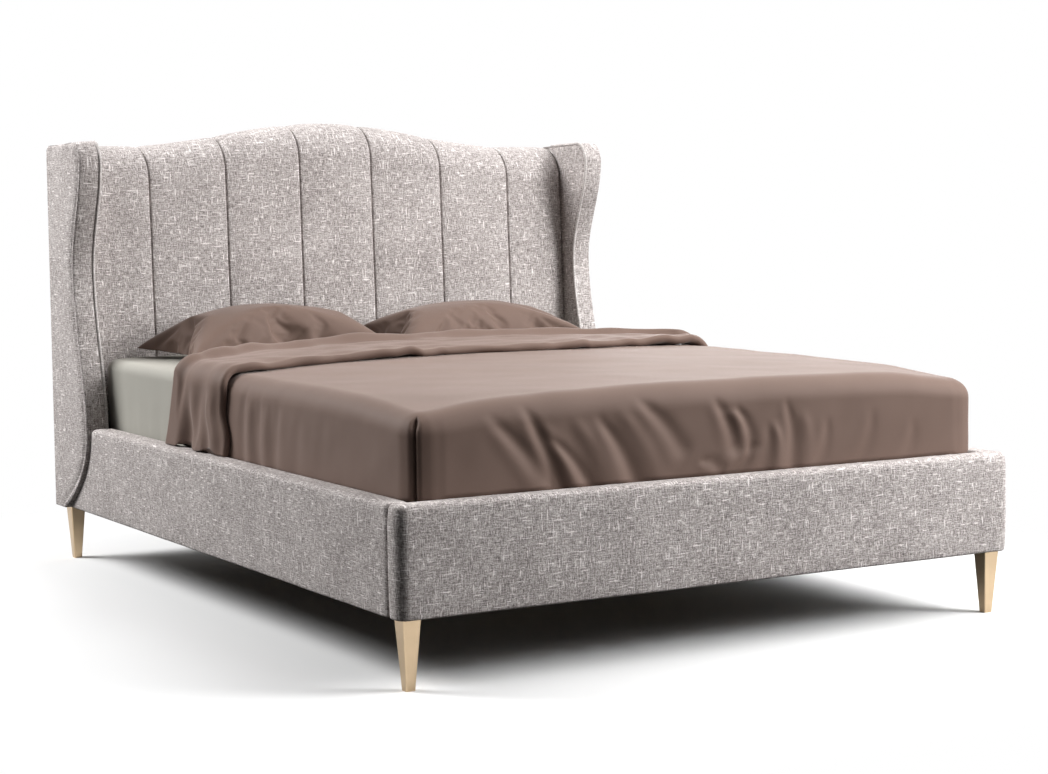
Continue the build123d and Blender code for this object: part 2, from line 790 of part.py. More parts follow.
with BuildPart() as duvet:
    with BuildSketch(Plane.XZ.offset(-duvet_foot_y)):
        crowned_outline(duvet_outer_x, duvet_hem, duvet_shoulder, duvet_crown, duvet_edge_radius)
    extrude(amount=duvet_foot_y - duvet_head)
    foot_face = duvet.faces().sort_by(Axis.Y)[0]
    fillet(foot_face.edges() - foot_face.edges().group_by(Axis.Z)[0], duvet_corner_radius)
    with BuildSketch(Plane.XY.offset(duvet_hem)):
        swept_band(duvet_foot_y - cuff_front_sweep, cuff_front_sweep)
    extrude(amount=mattress_height * 2, mode=Mode.INTERSECT)
    add(duvet_cuff.part)

    # Folds down the sides by the cuff and across the foot, all above the rails
    fold_low = rail_top + fold_rest
    cuff_side_y = cuff_front - cuff_front_sweep
    for sign in (-1, 1):
        for share in side_fold_shares:
            y = cuff_side_y + (duvet_foot_y - cuff_side_y) * share
            fold((sign * duvet_outer_x, y, fold_low), (sign * duvet_outer_x, y, fold_low + side_fold_height))
    for share, lean_share in foot_fold_shares:
        x = share * duvet_outer_x
        top_x = x + foot_fold_lean * lean_share
        fold((x, duvet_foot_y, fold_low), (top_x, duvet_foot_y, fold_low + foot_fold_height))

    # The tucked pleats at the foot corners
    for sign in (-1, 1):
        pleat_x = sign * (duvet_outer_x - duvet_corner_radius - pleat_inset)
        span_box(
            (pleat_x - pleat_width / 2, pleat_x + pleat_width / 2),
            (duvet_foot_y - fold_radius, duvet_foot_y + pleat_depth),
            (rail_top, duvet_shoulder - pleat_top_drop),
            Mode.SUBTRACT,
        )
    with BuildPart(mode=Mode.PRIVATE) as room:
        room_y = (mattress_foot_y - duvet_gap, pad_front_y)
        span_box((-duvet_inner_x, duvet_inner_x), room_y, (0, duvet_under))
        fillet(room.edges().filter_by(Axis.Z).group_by(Axis.Y)[0], mattress_corner_radius)
        over = room.faces().sort_by(Axis.Z)[-1]
        fillet(over.edges() - over.edges().group_by(Axis.Y)[-1], mattress_edge_radius)
    add(room.part, mode=Mode.SUBTRACT)
save(duvet, "duvet")

# Pillows: crowned lens shapes with drawn-in sides and thin pointed corners
for side, centre in (("left", pillow_left_centre), ("right", pillow_right_centre)):
    front_y = pad_front_y - pillow_head_gap - pillow_depth
    rear_y = pad_front_y - pillow_head_gap
    mid_y = (front_y + rear_y) / 2
    mid_z = mattress_top + seat_gap + pillow_height / 2 - pillow_squash
    with BuildPart() as pillow:
        for place_share, swell_share in pillow_sections:
            half_height = pillow_tip + (pillow_height / 2 - pillow_tip) * swell_share
            draw = pillow_draw * (1 - place_share**2)
            with BuildSketch(Plane.YZ.offset(centre + place_share * pillow_length / 2)):
                front = (front_y + draw, mid_z)
                rear = (rear_y - draw, mid_z)
                with BuildLine():
                    ThreePointArc(front, (mid_y, mid_z + half_height), rear)
                    ThreePointArc(rear, (mid_y, mid_z - half_height), front)
                make_face()
        loft()
        span_box(
            (centre - pillow_length, centre + pillow_length),
            (front_y - pillow_depth, rear_y + pillow_depth),
            (0, mattress_top + seat_gap),
            Mode.SUBTRACT,
        )
    save(pillow, f"pillow_{side}")
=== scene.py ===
from math import cos, pi, sin

import bmesh
import bpy
import numpy as np
from mathutils import Matrix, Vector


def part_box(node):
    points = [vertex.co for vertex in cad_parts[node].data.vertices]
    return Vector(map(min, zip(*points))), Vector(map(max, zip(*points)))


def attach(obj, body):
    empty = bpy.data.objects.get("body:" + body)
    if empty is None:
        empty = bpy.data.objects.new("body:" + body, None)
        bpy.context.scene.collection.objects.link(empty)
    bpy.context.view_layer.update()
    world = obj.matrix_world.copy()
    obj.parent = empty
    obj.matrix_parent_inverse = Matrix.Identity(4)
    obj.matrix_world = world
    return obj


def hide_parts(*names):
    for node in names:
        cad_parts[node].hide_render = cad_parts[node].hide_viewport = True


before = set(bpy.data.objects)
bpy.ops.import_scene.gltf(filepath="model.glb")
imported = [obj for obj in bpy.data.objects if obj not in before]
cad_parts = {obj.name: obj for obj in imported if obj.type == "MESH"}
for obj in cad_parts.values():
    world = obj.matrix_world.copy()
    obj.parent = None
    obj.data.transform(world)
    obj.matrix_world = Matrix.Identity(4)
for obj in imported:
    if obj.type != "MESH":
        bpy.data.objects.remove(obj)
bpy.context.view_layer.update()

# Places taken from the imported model, in metres
rail_low, rail_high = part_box("side_rail_left_cover")
foot_low, foot_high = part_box("footboard_cover")
wing_low, wing_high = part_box("wing_right_cover")
pad_low, pad_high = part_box("headboard_pad")
lining_low, lining_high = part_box("headboard_back_lining")
mat_low, mat_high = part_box("mattress")
sheet_low, sheet_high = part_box("fitted_sheet")
HALF = foot_high[0]
FOOT, FOOT_IN = foot_low[1], foot_high[1]
BACK = wing_high[1]
RAIL_Z0, RAIL_Z1 = rail_low[2], rail_high[2]
RAIL_IN = -rail_high[0]
QUARTER = 0.5 * pi


# ------------ lines and curves
def unit(vectors):
    """Vectors, or one vector, at length one."""
    return vectors / np.linalg.norm(vectors, axis=-1, keepdims=True)


def right_of(tangents):
    """Unit normals to the right of flat tangents."""
    tangents = unit(tangents)
    return np.stack([tangents[:, 1], -tangents[:, 0]], 1)


def run_along(points):
    """Length of the way along a line of points, up to each of them."""
    return np.concatenate([[0], np.cumsum(np.linalg.norm(np.diff(points, axis=0), axis=1))])


def row(x, y, z):
    """One row of points; a coordinate may be a single number."""
    return np.stack(np.broadcast_arrays(x, y, z), 1)


def arc(start, stop, count):
    """Pairs of cosine and sine at even steps from one angle to another."""
    turn = np.linspace(start, stop, count)
    return np.column_stack([np.cos(turn), np.sin(turn)])


def step01(x):
    """Smooth step from 0 to 1."""
    x = np.clip(x, 0.0, 1.0)
    return x * x * (3 - 2 * x)


def bell(x, width):
    """Bell curve, 1 at zero."""
    return np.exp(-((x / width) ** 2))


def round_over(into, radius):
    """How far a rounded edge sets back at a distance into it."""
    into = np.clip(into, 0, radius)
    return radius - np.sqrt(np.maximum(radius**2 - into**2, 0))


def swing(turns):
    """Sine of a number of turns."""
    return np.sin(2 * pi * turns)


def waves(x, y, seed, scale, count=9):
    """Soft seeded noise from a few sine waves, about -1 to 1."""
    local = np.random.default_rng(seed)
    out = 0
    for _ in range(count):
        ang = local.uniform(0, 2 * pi)
        freq = local.uniform(0.55, 1.5) / scale
        out = out + np.sin(2 * pi * freq * (x * cos(ang) + y * sin(ang)) + local.uniform(0, 2 * pi))
    return out / count * 1.8


# ------------ meshes
def link(obj):
    """Puts an object into the scene."""
    bpy.context.scene.collection.objects.link(obj)
    return obj


def shade_smooth(obj):
    """Shades every face smooth."""
    obj.data.polygons.foreach_set("use_smooth", [True] * len(obj.data.polygons))


def smooth_object(name, verts, faces):
    """A smooth-shaded mesh object from points and faces."""
    mesh = bpy.data.meshes.new(name)
    mesh.from_pydata(np.asarray(verts, dtype=float).tolist(), [], [tuple(int(i) for i in f) for f in faces])
    mesh.validate()
    mesh.update()
    obj = link(bpy.data.objects.new(name, mesh))
    shade_smooth(obj)
    return obj


def face_out(obj, merge=1e-6):
    """Joins points that meet and turns every face outwards."""
    bm = bmesh.new()
    bm.from_mesh(obj.data)
    bmesh.ops.remove_doubles(bm, verts=bm.verts, dist=merge)
    bmesh.ops.recalc_face_normals(bm, faces=bm.faces)
    bm.to_mesh(obj.data)
    bm.free()
    shade_smooth(obj)
    obj.data.update()


def get_coords(obj, key="co"):
    """The points or normals of a mesh as an array."""
    flat = np.zeros(len(obj.data.vertices) * 3)
    obj.data.vertices.foreach_get(key, flat)
    return flat.reshape(-1, 3)


def strip(low, high, closed=True):
    """Quads between two runs of point numbers."""
    count = len(low)
    pairs = [(i, (i + 1) % count) for i in range(count if closed else count - 1)]
    return [(low[i], low[n], high[n], high[i]) for i, n in pairs]


def grid_faces(rows, cols, closed=False, start=0):
    """Quads over a grid of rows by cols points; closed joins the last column to the first."""
    faces = []
    for a in range(start, start + (rows - 1) * cols, cols):
        faces += strip(range(a, a + cols), range(a + cols, a + 2 * cols), closed)
    return faces


def tube_faces(rows, cols):
    """Faces of a tube of closed rings, with a cap at both ends."""
    caps = [tuple(range(cols)), tuple(range(rows * cols - 1, (rows - 1) * cols - 1, -1))]
    return grid_faces(rows, cols, closed=True) + caps


def shell_faces(rows, cols):
    """Faces of a grid whose last row joins its first, with a cap at both sides."""
    total = rows * cols
    faces = grid_faces(rows, cols) + strip(range(total - cols, total), range(cols), closed=False)
    return faces + [tuple(range(0, total, cols)), tuple(range(total - 1, 0, -cols))]


def grid_rim(ids):
    """Point numbers round the edge of a grid of them."""
    return np.concatenate([ids[0], ids[1:, -1], ids[-1, -2::-1], ids[-2:0:-1, 0]])


def double_skin(outer, inner, faces):
    """Points and faces of a layer of cloth: two skins, joined along every open edge."""
    total = len(outer)
    edges = {}
    for f in faces:
        for a, b in zip(f, f[1:] + f[:1]):
            key = (min(a, b), max(a, b))
            edges[key] = None if key in edges else (a, b)
    rim = [(b, a, a + total, b + total) for a, b in filter(None, edges.values())]
    back = [tuple(total + i for i in reversed(f)) for f in faces]
    return np.vstack([outer, inner]), faces + back + rim


def tube(name, path, radius, sides=8):
    """A round tube of mesh along a line of points, such as a welt."""
    tangent = unit(np.gradient(path, axis=0))
    across = unit(np.cross(tangent, (0.31, 0.53, 0.79)))
    up = np.cross(tangent, across)
    rings = [path + radius * (c * across + s * up) for c, s in arc(0, 2 * pi, sides + 1)[:-1]]
    verts = np.stack(rings, 1).reshape(-1, 3)
    return smooth_object(name, verts, tube_faces(len(path), sides))


def paint(obj, mat):
    """Gives an object one material."""
    obj.data.materials.clear()
    obj.data.materials.append(mat)


def dress(obj, mat, body, slot, stands_for=None, fill=None):
    """Gives a piece its material and body, and hides the solid it stands for; slot and fill are not used."""
    paint(obj, mat)
    if stands_for:
        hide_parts(stands_for)
    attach(obj, body)


def piece(name, verts, faces, *said, merge=1e-6, **more):
    """Makes a piece with its faces turned outwards, and dresses it."""
    obj = smooth_object(name, verts, faces)
    face_out(obj, merge)
    dress(obj, *said, **more)
    return obj


# ------------ materials
class Tree:
    """Short names for making and joining shader nodes."""

    def __init__(self, tree):
        self.t = tree

    def put(self, node, inputs):
        """Gives inputs of a node a value or a link."""
        for key, value in inputs.items():
            if isinstance(value, bpy.types.NodeSocket):
                self.t.links.new(value, node.inputs[key])
            else:
                node.inputs[key].default_value = value

    def node(self, kind, inputs=None, **props):
        n = self.t.nodes.new("ShaderNode" + kind)
        for key, value in props.items():
            setattr(n, key, value)
        self.put(n, inputs or {})
        return n

    def math(self, op, a, b=None, clamp=False):
        inputs = {0: a} if b is None else {0: a, 1: b}
        return self.node("Math", inputs, operation=op, use_clamp=clamp).outputs[0]

    def add(self, a, b):
        return self.math("ADD", a, b)

    def mul(self, a, b):
        return self.math("MULTIPLY", a, b)

    def mix(self, a, b, share):
        """A share of one value and the rest of another."""
        return self.add(self.mul(a, share), self.mul(b, round(1 - share, 6)))

    def noise(self, vector, scale, detail=2.0, rough=0.5):
        inputs = {"Scale": scale, "Detail": detail, "Roughness": rough, "Vector": vector}
        return self.node("TexNoise", inputs).outputs["Fac"]

    def spread(self, value, low, high, to="To", **props):
        """A value mapped to a range, or from one with to set to From."""
        inputs = {"Value": value, to + " Min": low, to + " Max": high}
        return self.node("MapRange", inputs, **props).outputs[0]

    def ramp(self, fac, stops):
        n = self.node("ValToRGB", {"Fac": fac})
        while len(n.color_ramp.elements) < len(stops):
            n.color_ramp.elements.new(0.5)
        for el, (pos, col) in zip(n.color_ramp.elements, stops):
            el.position = pos
            el.color = (*col, 1)
        return n.outputs["Color"]

    def stretch(self, u, v, su, sv):
        return self.node("CombineXYZ", {0: self.mul(u, su), 1: self.mul(v, sv)}).outputs[0]

    def weave(self, u, v, pitch):
        """Threads that cross at a pitch."""
        along, across = (self.math("SINE", self.mul(way, 2 * pi / pitch)) for way in (u, v))
        return self.mul(along, across)

    def flat_coords(self):
        """Object coordinates laid flat on whichever side of the object a point faces."""
        tex = self.node("TexCoord").outputs
        x, y, z = self.node("SeparateXYZ", {0: tex["Object"]}).outputs
        normal = self.node("SeparateXYZ", {0: tex["Normal"]}).outputs
        ax, ay, az = (self.math("ABSOLUTE", n) for n in normal)
        on_x = self.math("GREATER_THAN", ax, self.math("MAXIMUM", ay, az))
        on_z = self.math("GREATER_THAN", az, self.math("MAXIMUM", ax, ay))
        u = self.add(self.mul(y, on_x), self.mul(x, self.math("SUBTRACT", 1.0, on_x)))
        v = self.add(self.mul(y, on_z), self.mul(z, self.math("SUBTRACT", 1.0, on_z)))
        return u, v, tex["Object"]

    def bump(self, height, distance, strength, shader):
        n = self.node("Bump", {"Distance": distance, "Strength": strength, "Height": height})
        self.put(shader, {"Normal": n.outputs[0]})


def new_material(name):
    """A material with its node tree and its main shader."""
    mat = bpy.data.materials.new(name)
    mat.use_nodes = True
    return mat, Tree(mat.node_tree), mat.node_tree.nodes["Principled BSDF"]


def shade(color, share):
    """A colour made lighter or darker."""
    return tuple(min(1, c * share) for c in color)


def tweed(name, dark, mid, light, streak=1.0):
    """Heathered tweed: crossing slubs, salt-and-pepper grain and a fine woven relief."""
    mat, t, bsdf = new_material(name)
    u, v, obj = t.flat_coords()

    def centred(vector, scale, rough):
        return t.math("SUBTRACT", t.noise(vector, scale, 2.0, rough), 0.5)

    weft = centred(t.stretch(u, v, 52, 400), 1.0, 0.65)
    warp = centred(t.stretch(u, v, 400, 52), 1.0, 0.65)
    grain = centred(t.stretch(u, v, 1.0, 1.0), 270, 0.75)
    patch = centred(obj, 8, 0.5)
    slubs = (t.noise(t.stretch(u, v, *scale), 1.0, 1.0) for scale in ((26, 210), (210, 26)))
    slub = t.spread(t.math("MAXIMUM", *slubs), 0.62, 0.74, "From", interpolation_type="SMOOTHSTEP")
    threads = t.add(t.mul(t.add(weft, warp), 1.08 * streak), t.mul(grain, 1.05))
    level = t.add(threads, t.add(t.mul(patch, 0.22), 0.43))
    level = t.math("ADD", level, t.mul(slub, 0.42), clamp=True)
    color = t.ramp(level, [(0.05, dark), (0.45, mid), (0.85, light), (1.0, shade(light, 1.12))])
    t.bump(t.add(t.mul(t.weave(u, v, 0.0024), 0.18), threads), 0.0012, 0.5, bsdf)
    look = {"Base Color": color, "Roughness": 0.92, "Specular IOR Level": 0.2, "Sheen Weight": 0.10}
    t.put(bsdf, look | {"Sheen Roughness": 0.45, "Sheen Tint": (0.95, 0.9, 0.88, 1)})
    return mat


def cloth(name, color, light, rough=0.5, sheen=0.3, spec=0.45, wrinkle=0.0):
    """Plain woven cloth, satin or cotton, with fine threads and slight unevenness."""
    mat, t, bsdf = new_material(name)
    u, v, obj = t.flat_coords()
    tone = t.noise(obj, 5)
    fibre = t.noise(t.stretch(u, v, 160, 1500), 1.0, 1.0)
    tint = t.ramp(t.mix(tone, fibre, 0.6), [(0.25, color), (0.75, light)])
    uneven = t.mul(t.noise(obj, 26, 3.0), 1.0 + wrinkle)
    relief = t.add(t.mul(t.weave(u, v, 0.0006), 0.15), t.add(fibre, uneven))
    t.bump(relief, 0.00025, 0.5, bsdf)
    look = {"Base Color": tint, "Roughness": t.spread(fibre, rough - 0.05, rough + 0.05)}
    look |= {"Specular IOR Level": spec, "Sheen Weight": sheen}
    t.put(bsdf, look | {"Sheen Roughness": 0.35, "Sheen Tint": (1.0, 0.93, 0.9, 1)})
    return mat


def wood(name, dark, light, along, ring=38):
    """Sawn timber with grain along one axis."""
    mat, t, bsdf = new_material(name)
    scale = [ring * 0.05 if axis == along else ring for axis in "XYZ"]
    inputs = {"Vector": t.node("TexCoord").outputs["Object"], "Scale": scale}
    place = t.node("Mapping", inputs).outputs[0]
    grain = t.mix(t.noise(place, 1.0, 4.0, 0.6), t.noise(place, 9.0, 2.0, 0.6), 0.75)
    t.bump(grain, 0.0006, 0.4, bsdf)
    t.put(bsdf, {"Base Color": t.ramp(grain, [(0.3, dark), (0.7, light)]), "Roughness": 0.6})
    return mat


def metal(name, color, rough):
    """Metal with a fine brushed finish that runs up the piece."""
    mat, t, bsdf = new_material(name)
    u, v, obj = t.flat_coords()
    lines = t.noise(t.stretch(u, v, 1900, 22), 1.0, 2.0, 0.6)
    cloud = t.noise(obj, 30)
    t.bump(lines, 0.00006, 0.35, bsdf)
    uneven = t.spread(t.mix(lines, cloud, 0.6), rough - 0.07, rough + 0.09)
    tint = t.ramp(cloud, [(0.3, shade(color, 0.93)), (0.7, color)])
    t.put(bsdf, {"Base Color": tint, "Roughness": uneven, "Metallic": 1.0})
    return mat


def plastic(name, color, rough):
    """Moulded plastic or powder coat with a faint texture."""
    mat, t, bsdf = new_material(name)
    fine = t.noise(t.node("TexCoord").outputs["Object"], 900)
    t.bump(fine, 0.0001, 0.4, bsdf)
    tint = t.ramp(fine, [(0.3, shade(color, 0.85)), (0.7, color)])
    t.put(bsdf, {"Base Color": tint, "Roughness": rough})
    return mat


TWEED = tweed("tweed", (0.100, 0.086, 0.082), (0.385, 0.347, 0.334), (0.77, 0.725, 0.71))
# The welt's tweed is lighter than the rest of the tweed: a painted highlight along the wings' inner edge
WELT_PAINTED_HIGHLIGHT = tweed("tweed_welt_painted_highlight", (0.25, 0.228, 0.22), (0.50, 0.465, 0.45), (0.80, 0.755, 0.74), 0.6)
SEAM = cloth("seam_thread", (0.10, 0.085, 0.08), (0.14, 0.12, 0.115), 0.8, 0.0, 0.2)
SATIN = cloth("satin", (0.127, 0.084, 0.067), (0.150, 0.100, 0.081), 0.63, 0.19, 0.14, 0.8)
COTTON = cloth("sheet_cotton", (0.285, 0.275, 0.243), (0.32, 0.31, 0.275), 0.75, 0.10, 0.3, 1.2)
TICKING = cloth("ticking", (0.66, 0.65, 0.61), (0.74, 0.73, 0.69), 0.85, 0.1, 0.2)
LINING = cloth("back_cloth", (0.020, 0.020, 0.021), (0.035, 0.035, 0.036), 0.9, 0.1, 0.15, 1.0)
PINE = (0.36, 0.24, 0.135), (0.56, 0.40, 0.24)
TIMBER_X = wood("timber_across", *PINE, "X")
TIMBER_Y = wood("timber_along", *PINE, "Y")
TIMBER_Z = wood("timber_upright", *PINE, "Z")
BEECH = wood("beech", (0.52, 0.34, 0.19), (0.66, 0.46, 0.28), "X", 60)
GOLD = metal("champagne", (0.56, 0.425, 0.28), 0.30)
ZINC = metal("zinc", (0.62, 0.63, 0.64), 0.38)
BLACK = plastic("black_plastic", (0.018, 0.018, 0.019), 0.55)
COAT = plastic("black_coat", (0.010, 0.010, 0.010), 0.5)

# Materials of the solids by how their names begin; the first that fits counts
LOOKS = (
    (("leg_studs", "corner_b", "wing_bolts", "beam_hanger"), ZINC),
    ("leg_", GOLD),
    ("slat_caps", BLACK),
    ("slats_", BEECH),
    (("support_leg", "screw_foot"), COAT),
    (("ledger", "centre_beam", "side_rail"), TIMBER_Y),
    (("headboard_upright", "headboard_stud", "wing_left_core", "wing_right_core"), TIMBER_Z),
    ("", TIMBER_X),
)
for name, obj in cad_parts.items():
    paint(obj, next(mat for start, mat in LOOKS if name.startswith(start)))


# ------------ wings
WING_BACK_RADIUS = 0.024
WING_BACK_DROP = 0.006
SOFT_EDGE = 0.0125
INNER_EDGE = 0.0028
LOW_EDGE = 0.0055
SEAM_IN = 0.0162
WELT_IN = 0.0062
# Distances from the front edge and from the back edge at which a wing has points
EDGE_STEPS = 0.0001 * np.array([0, 3, 11, 24, 42, 64, 88, 112, 132, 148, 162, 176, 192, 212, 240, 280, 340])
BACK_STEPS = 0.0001 * np.array([340, 260, 190, 130, 80, 45, 20, 6, 0])
BAND_STEPS = (0.04, 0.10, 0.20, 0.34, 0.50, 0.66, 0.80, 0.90, 0.96)


def cubic(p0, p1, t0, t1, steps):
    """Points of a cubic from p0 to p1 with unit tangents scaled by the chord."""
    p0, p1, t0, t1 = (np.asarray(v, dtype=float) for v in (p0, p1, t0, t1))
    chord = np.linalg.norm(p1 - p0)
    s = np.linspace(0, 1, steps)[:, None]
    places = (2 * s**3 - 3 * s**2 + 1) * p0 + (3 * s**2 - 2 * s**3) * p1
    return places + ((s**3 - 2 * s**2 + s) * unit(t0) + (s**3 - s**2) * unit(t1)) * chord


def wing_front():
    """The wing's front edge as (y, z) points from the floor end to the top."""
    top = (BACK - 0.236, wing_high[2])
    crown = (BACK - 0.282, 1.178)
    waist = (BACK - 0.202, 0.868)
    belly = (BACK - 0.283, 0.392)
    foot = (BACK - 0.082, wing_low[2])
    runs = [
        cubic(foot, belly, (-1, 0.5), (0, 1), 60),
        cubic(belly, waist, (0, 1), (0, 1), 60)[1:],
        cubic(waist, crown, (0, 1), (0, 1), 50)[1:],
        cubic(crown, top, (0, 1), (1, 0), 26)[1:],
    ]
    return np.vstack(runs)


FRONT = wing_front()


def loop_normals(loop, rounds=4):
    """Outward normals of a closed (y, z) loop that runs clockwise, evened out along it."""
    normals = -right_of(np.roll(loop, -1, 0) - np.roll(loop, 1, 0))
    for _ in range(rounds):
        normals = unit(normals + 0.5 * (np.roll(normals, 1, 0) + np.roll(normals, -1, 0)))
    return normals


def wing_grid():
    """Points over a wing's side outline as rows and columns, and the order of those on its edge."""
    run = run_along(FRONT)
    total = run[-1]
    parts = ((0, 0.02, 7), (0.02, total - 0.10, 140), (total - 0.10, total, 44))
    at = np.unique(np.concatenate([np.linspace(*part) for part in parts]))
    y, z = (np.interp(at, run, FRONT[:, k])[:, None] for k in (0, 1))
    z0, corner = wing_low[2], FRONT[-1, 1] - WING_BACK_DROP
    back_z = z0 + (z - z0) * (corner - z0) / (FRONT[-1, 1] - z0)
    back_y = BACK - round_over(back_z - (corner - WING_BACK_RADIUS), WING_BACK_RADIUS)
    width = back_y - y
    between = (width - EDGE_STEPS[-1] - BACK_STEPS[0]) * np.linspace(0, 1, 14)[1:-1]
    shares = np.hstack([EDGE_STEPS + 0 * width, EDGE_STEPS[-1] + between, width - BACK_STEPS]) / width
    grid = np.stack([y + width * shares, z + (back_z - z) * shares], 2)
    rows, cols = shares.shape
    return grid.reshape(-1, 2), grid_rim(np.arange(rows * cols).reshape(rows, cols).T), rows, cols


def wing(side, sign):
    """A boxed wing: soft faces, a band round the edge, a sunk outer seam and a welt in the inner one."""
    pts, order, rows, cols = wing_grid()
    loop = pts[order]
    gap = np.linalg.norm(pts[:, None] - loop, axis=2)
    dist, near = gap.min(1), gap.argmin(1)
    normals = loop_normals(loop)
    outer_x, inner_x = wing_high[0], wing_low[0]
    place = np.arange(len(loop))
    on_front = place < rows + cols - 1
    along_top = np.clip((place - rows) / cols, 0, 1)
    rise = step01((loop[:, 1] - wing_low[2]) / 0.12)
    sewn = np.where(on_front, (0.4 + 0.6 * rise) * (1 - step01((loop[:, 1] - 1.195) / 0.035)), 0.0)
    edge = np.where(on_front, SOFT_EDGE - 0.006 * step01((along_top - 0.5) / 0.5), LOW_EDGE)
    edge = np.where(loop[:, 1] < wing_low[2] + 0.002, 0.003, edge)
    valley = 0.0028 * bell(dist - SEAM_IN, 0.0045) + 0.0044 * bell(dist - SEAM_IN, 0.014)
    valley = valley * sewn[near] * np.clip(dist / 0.006, 0, 1)
    soft = 0.0012 * (waves(*pts.T, 81, 0.22) - 0.6) * np.clip(dist / 0.05, 0, 1)
    outer = outer_x - round_over(edge[near] - dist, edge[near]) - valley + np.minimum(soft, 0.0006)
    groove = 0.0030 * bell(dist - WELT_IN, 0.0020) * np.where(on_front, 1.0, 0.2)[near]
    inner = inner_x + round_over(INNER_EDGE - dist, INNER_EDGE) + groove + 0.0012 * np.exp(-dist / 0.02)
    verts = [np.column_stack([sign * x, pts]) for x in (outer, inner)]
    faces = grid_faces(rows, cols) + grid_faces(rows, cols, start=len(pts))
    rings = [order]
    for k, share in enumerate(BAND_STEPS):
        crown = 0.0022 * sin(pi * share) * on_front * rise
        x = outer_x - edge - (outer_x - inner_x - edge - INNER_EDGE) * share
        verts.append(np.column_stack([sign * x, loop + normals * crown[:, None]]))
        rings.append(2 * len(pts) + k * len(loop) + place)
    rings.append(len(pts) + order)
    for low, high in zip(rings, rings[1:]):
        faces += strip(low, high)
    said = TWEED, "bed_frame", "upholstery", f"wing_{side}_cover", 0.9
    piece(f"wing_{side}_upholstery", np.vstack(verts), faces, *said)
    # A crisp welt in the inner seam, up the front and over the top; its tweed is lighter than the rest, a
    # painted highlight along the edge
    part = slice(4, rows + cols - 10)
    path = row(sign * (inner_x + 0.0036), *(loop[part] + normals[part] * 0.0008).T)
    dress(tube(f"wing_{side}_welt", path, 0.0043), WELT_PAINTED_HIGHLIGHT, "bed_frame", "upholstery")


wing("left", -1)
wing("right", 1)


# ------------ rails and footboard
SEAM_TUCK = 0.0085


def rounded_section(x0, x1, z0, z1, radii, per=7, far=0.02):
    """Closed (x, z) loop of a box with its own radius at each corner, from the bottom inner corner round."""
    corners = [(x0, z0, 1, 1), (x1, z0, -1, 1), (x1, z1, -1, -1), (x0, z1, 1, -1)]
    pts = []
    for n, ((cx, cz, sx, sz), r) in enumerate(zip(corners, radii)):
        turn = arc((2 + n) * QUARTER, (3 + n) * QUARTER, per)
        pts += [np.array([cx + r * (sx + c), cz + r * (sz + s)]) for c, s in turn]
    out = []
    for p, q in zip(pts, pts[1:] + pts[:1]):
        steps = int(np.linalg.norm(q - p) // far) + 1
        out += [p + (q - p) * k / steps for k in range(steps)]
    return np.array(out)


def rail(side, sign):
    """A padded side rail whose head end follows the wing."""
    x, z = rounded_section(RAIL_IN, HALF, RAIL_Z0, RAIL_Z1, (0.005, 0.006, 0.013, 0.011)).T
    mid_x, mid_z = 0.5 * (RAIL_IN + HALF), 0.5 * (RAIL_Z0 + RAIL_Z1)
    swell = 0.0022 * (1 - ((z - mid_z) / (0.5 * (RAIL_Z1 - RAIL_Z0))) ** 4)
    x = x + np.where(x > HALF - 0.002, np.maximum(swell, 0), 0)
    stations = [0, 0.002, 0.005, 0.009, 0.014, *np.linspace(0.02, 0.98, 90), 0.986, 0.991, 0.995, 0.998, 1.0]
    # The head end keeps a small gap to the wing's front edge, and its top corner is round
    end = np.minimum(np.interp(z, FRONT[:, 1], FRONT[:, 0]) - 0.0012, rail_high[1])
    head_round = 0.020
    end = end - round_over(z - (RAIL_Z1 - head_round), head_round)
    rings = []
    for s in stations:
        y = FOOT_IN + (end - FOOT_IN) * s
        tuck = SEAM_TUCK * np.exp(-(y - FOOT_IN) / 0.004) + 0.003 * np.exp(-(end - y) / 0.004)
        ripple = 0.0007 * np.sin(7.3 * y + 3 * z) + 0.0005 * np.sin(19.0 * y + 11 * z)
        wide = mid_x + (x + np.where(x > HALF - 0.004, ripple, 0) - mid_x) * (1 - tuck / 0.03)
        rings.append(row(sign * wide, y, mid_z + (z - mid_z) * (1 - tuck / 0.126)))
    said = TWEED, "bed_frame", "upholstery", f"side_rail_{side}_cover", 1.0
    piece(f"side_rail_{side}_upholstery", np.vstack(rings), tube_faces(len(stations), len(x)), *said)


rail("left", -1)
rail("right", 1)


def edge_profile(z0, z1, radius, low_radius, levels=8, low_steps=7, top_steps=7, belly=0.0):
    """Inset and height up the side of a block with rolled edges."""
    out = [(low_radius * (1 - s), z0 + low_radius * (1 - c)) for c, s in arc(0, QUARTER, low_steps)]
    for z in np.linspace(z0 + low_radius, z1 - radius, levels)[1:-1]:
        out.append((-belly * (1 - (2 * (z - z0) / (z1 - z0) - 1) ** 4), z))
    return out + [(radius * (1 - c), z1 - radius * (1 - s)) for c, s in arc(0, QUARTER, top_steps)]


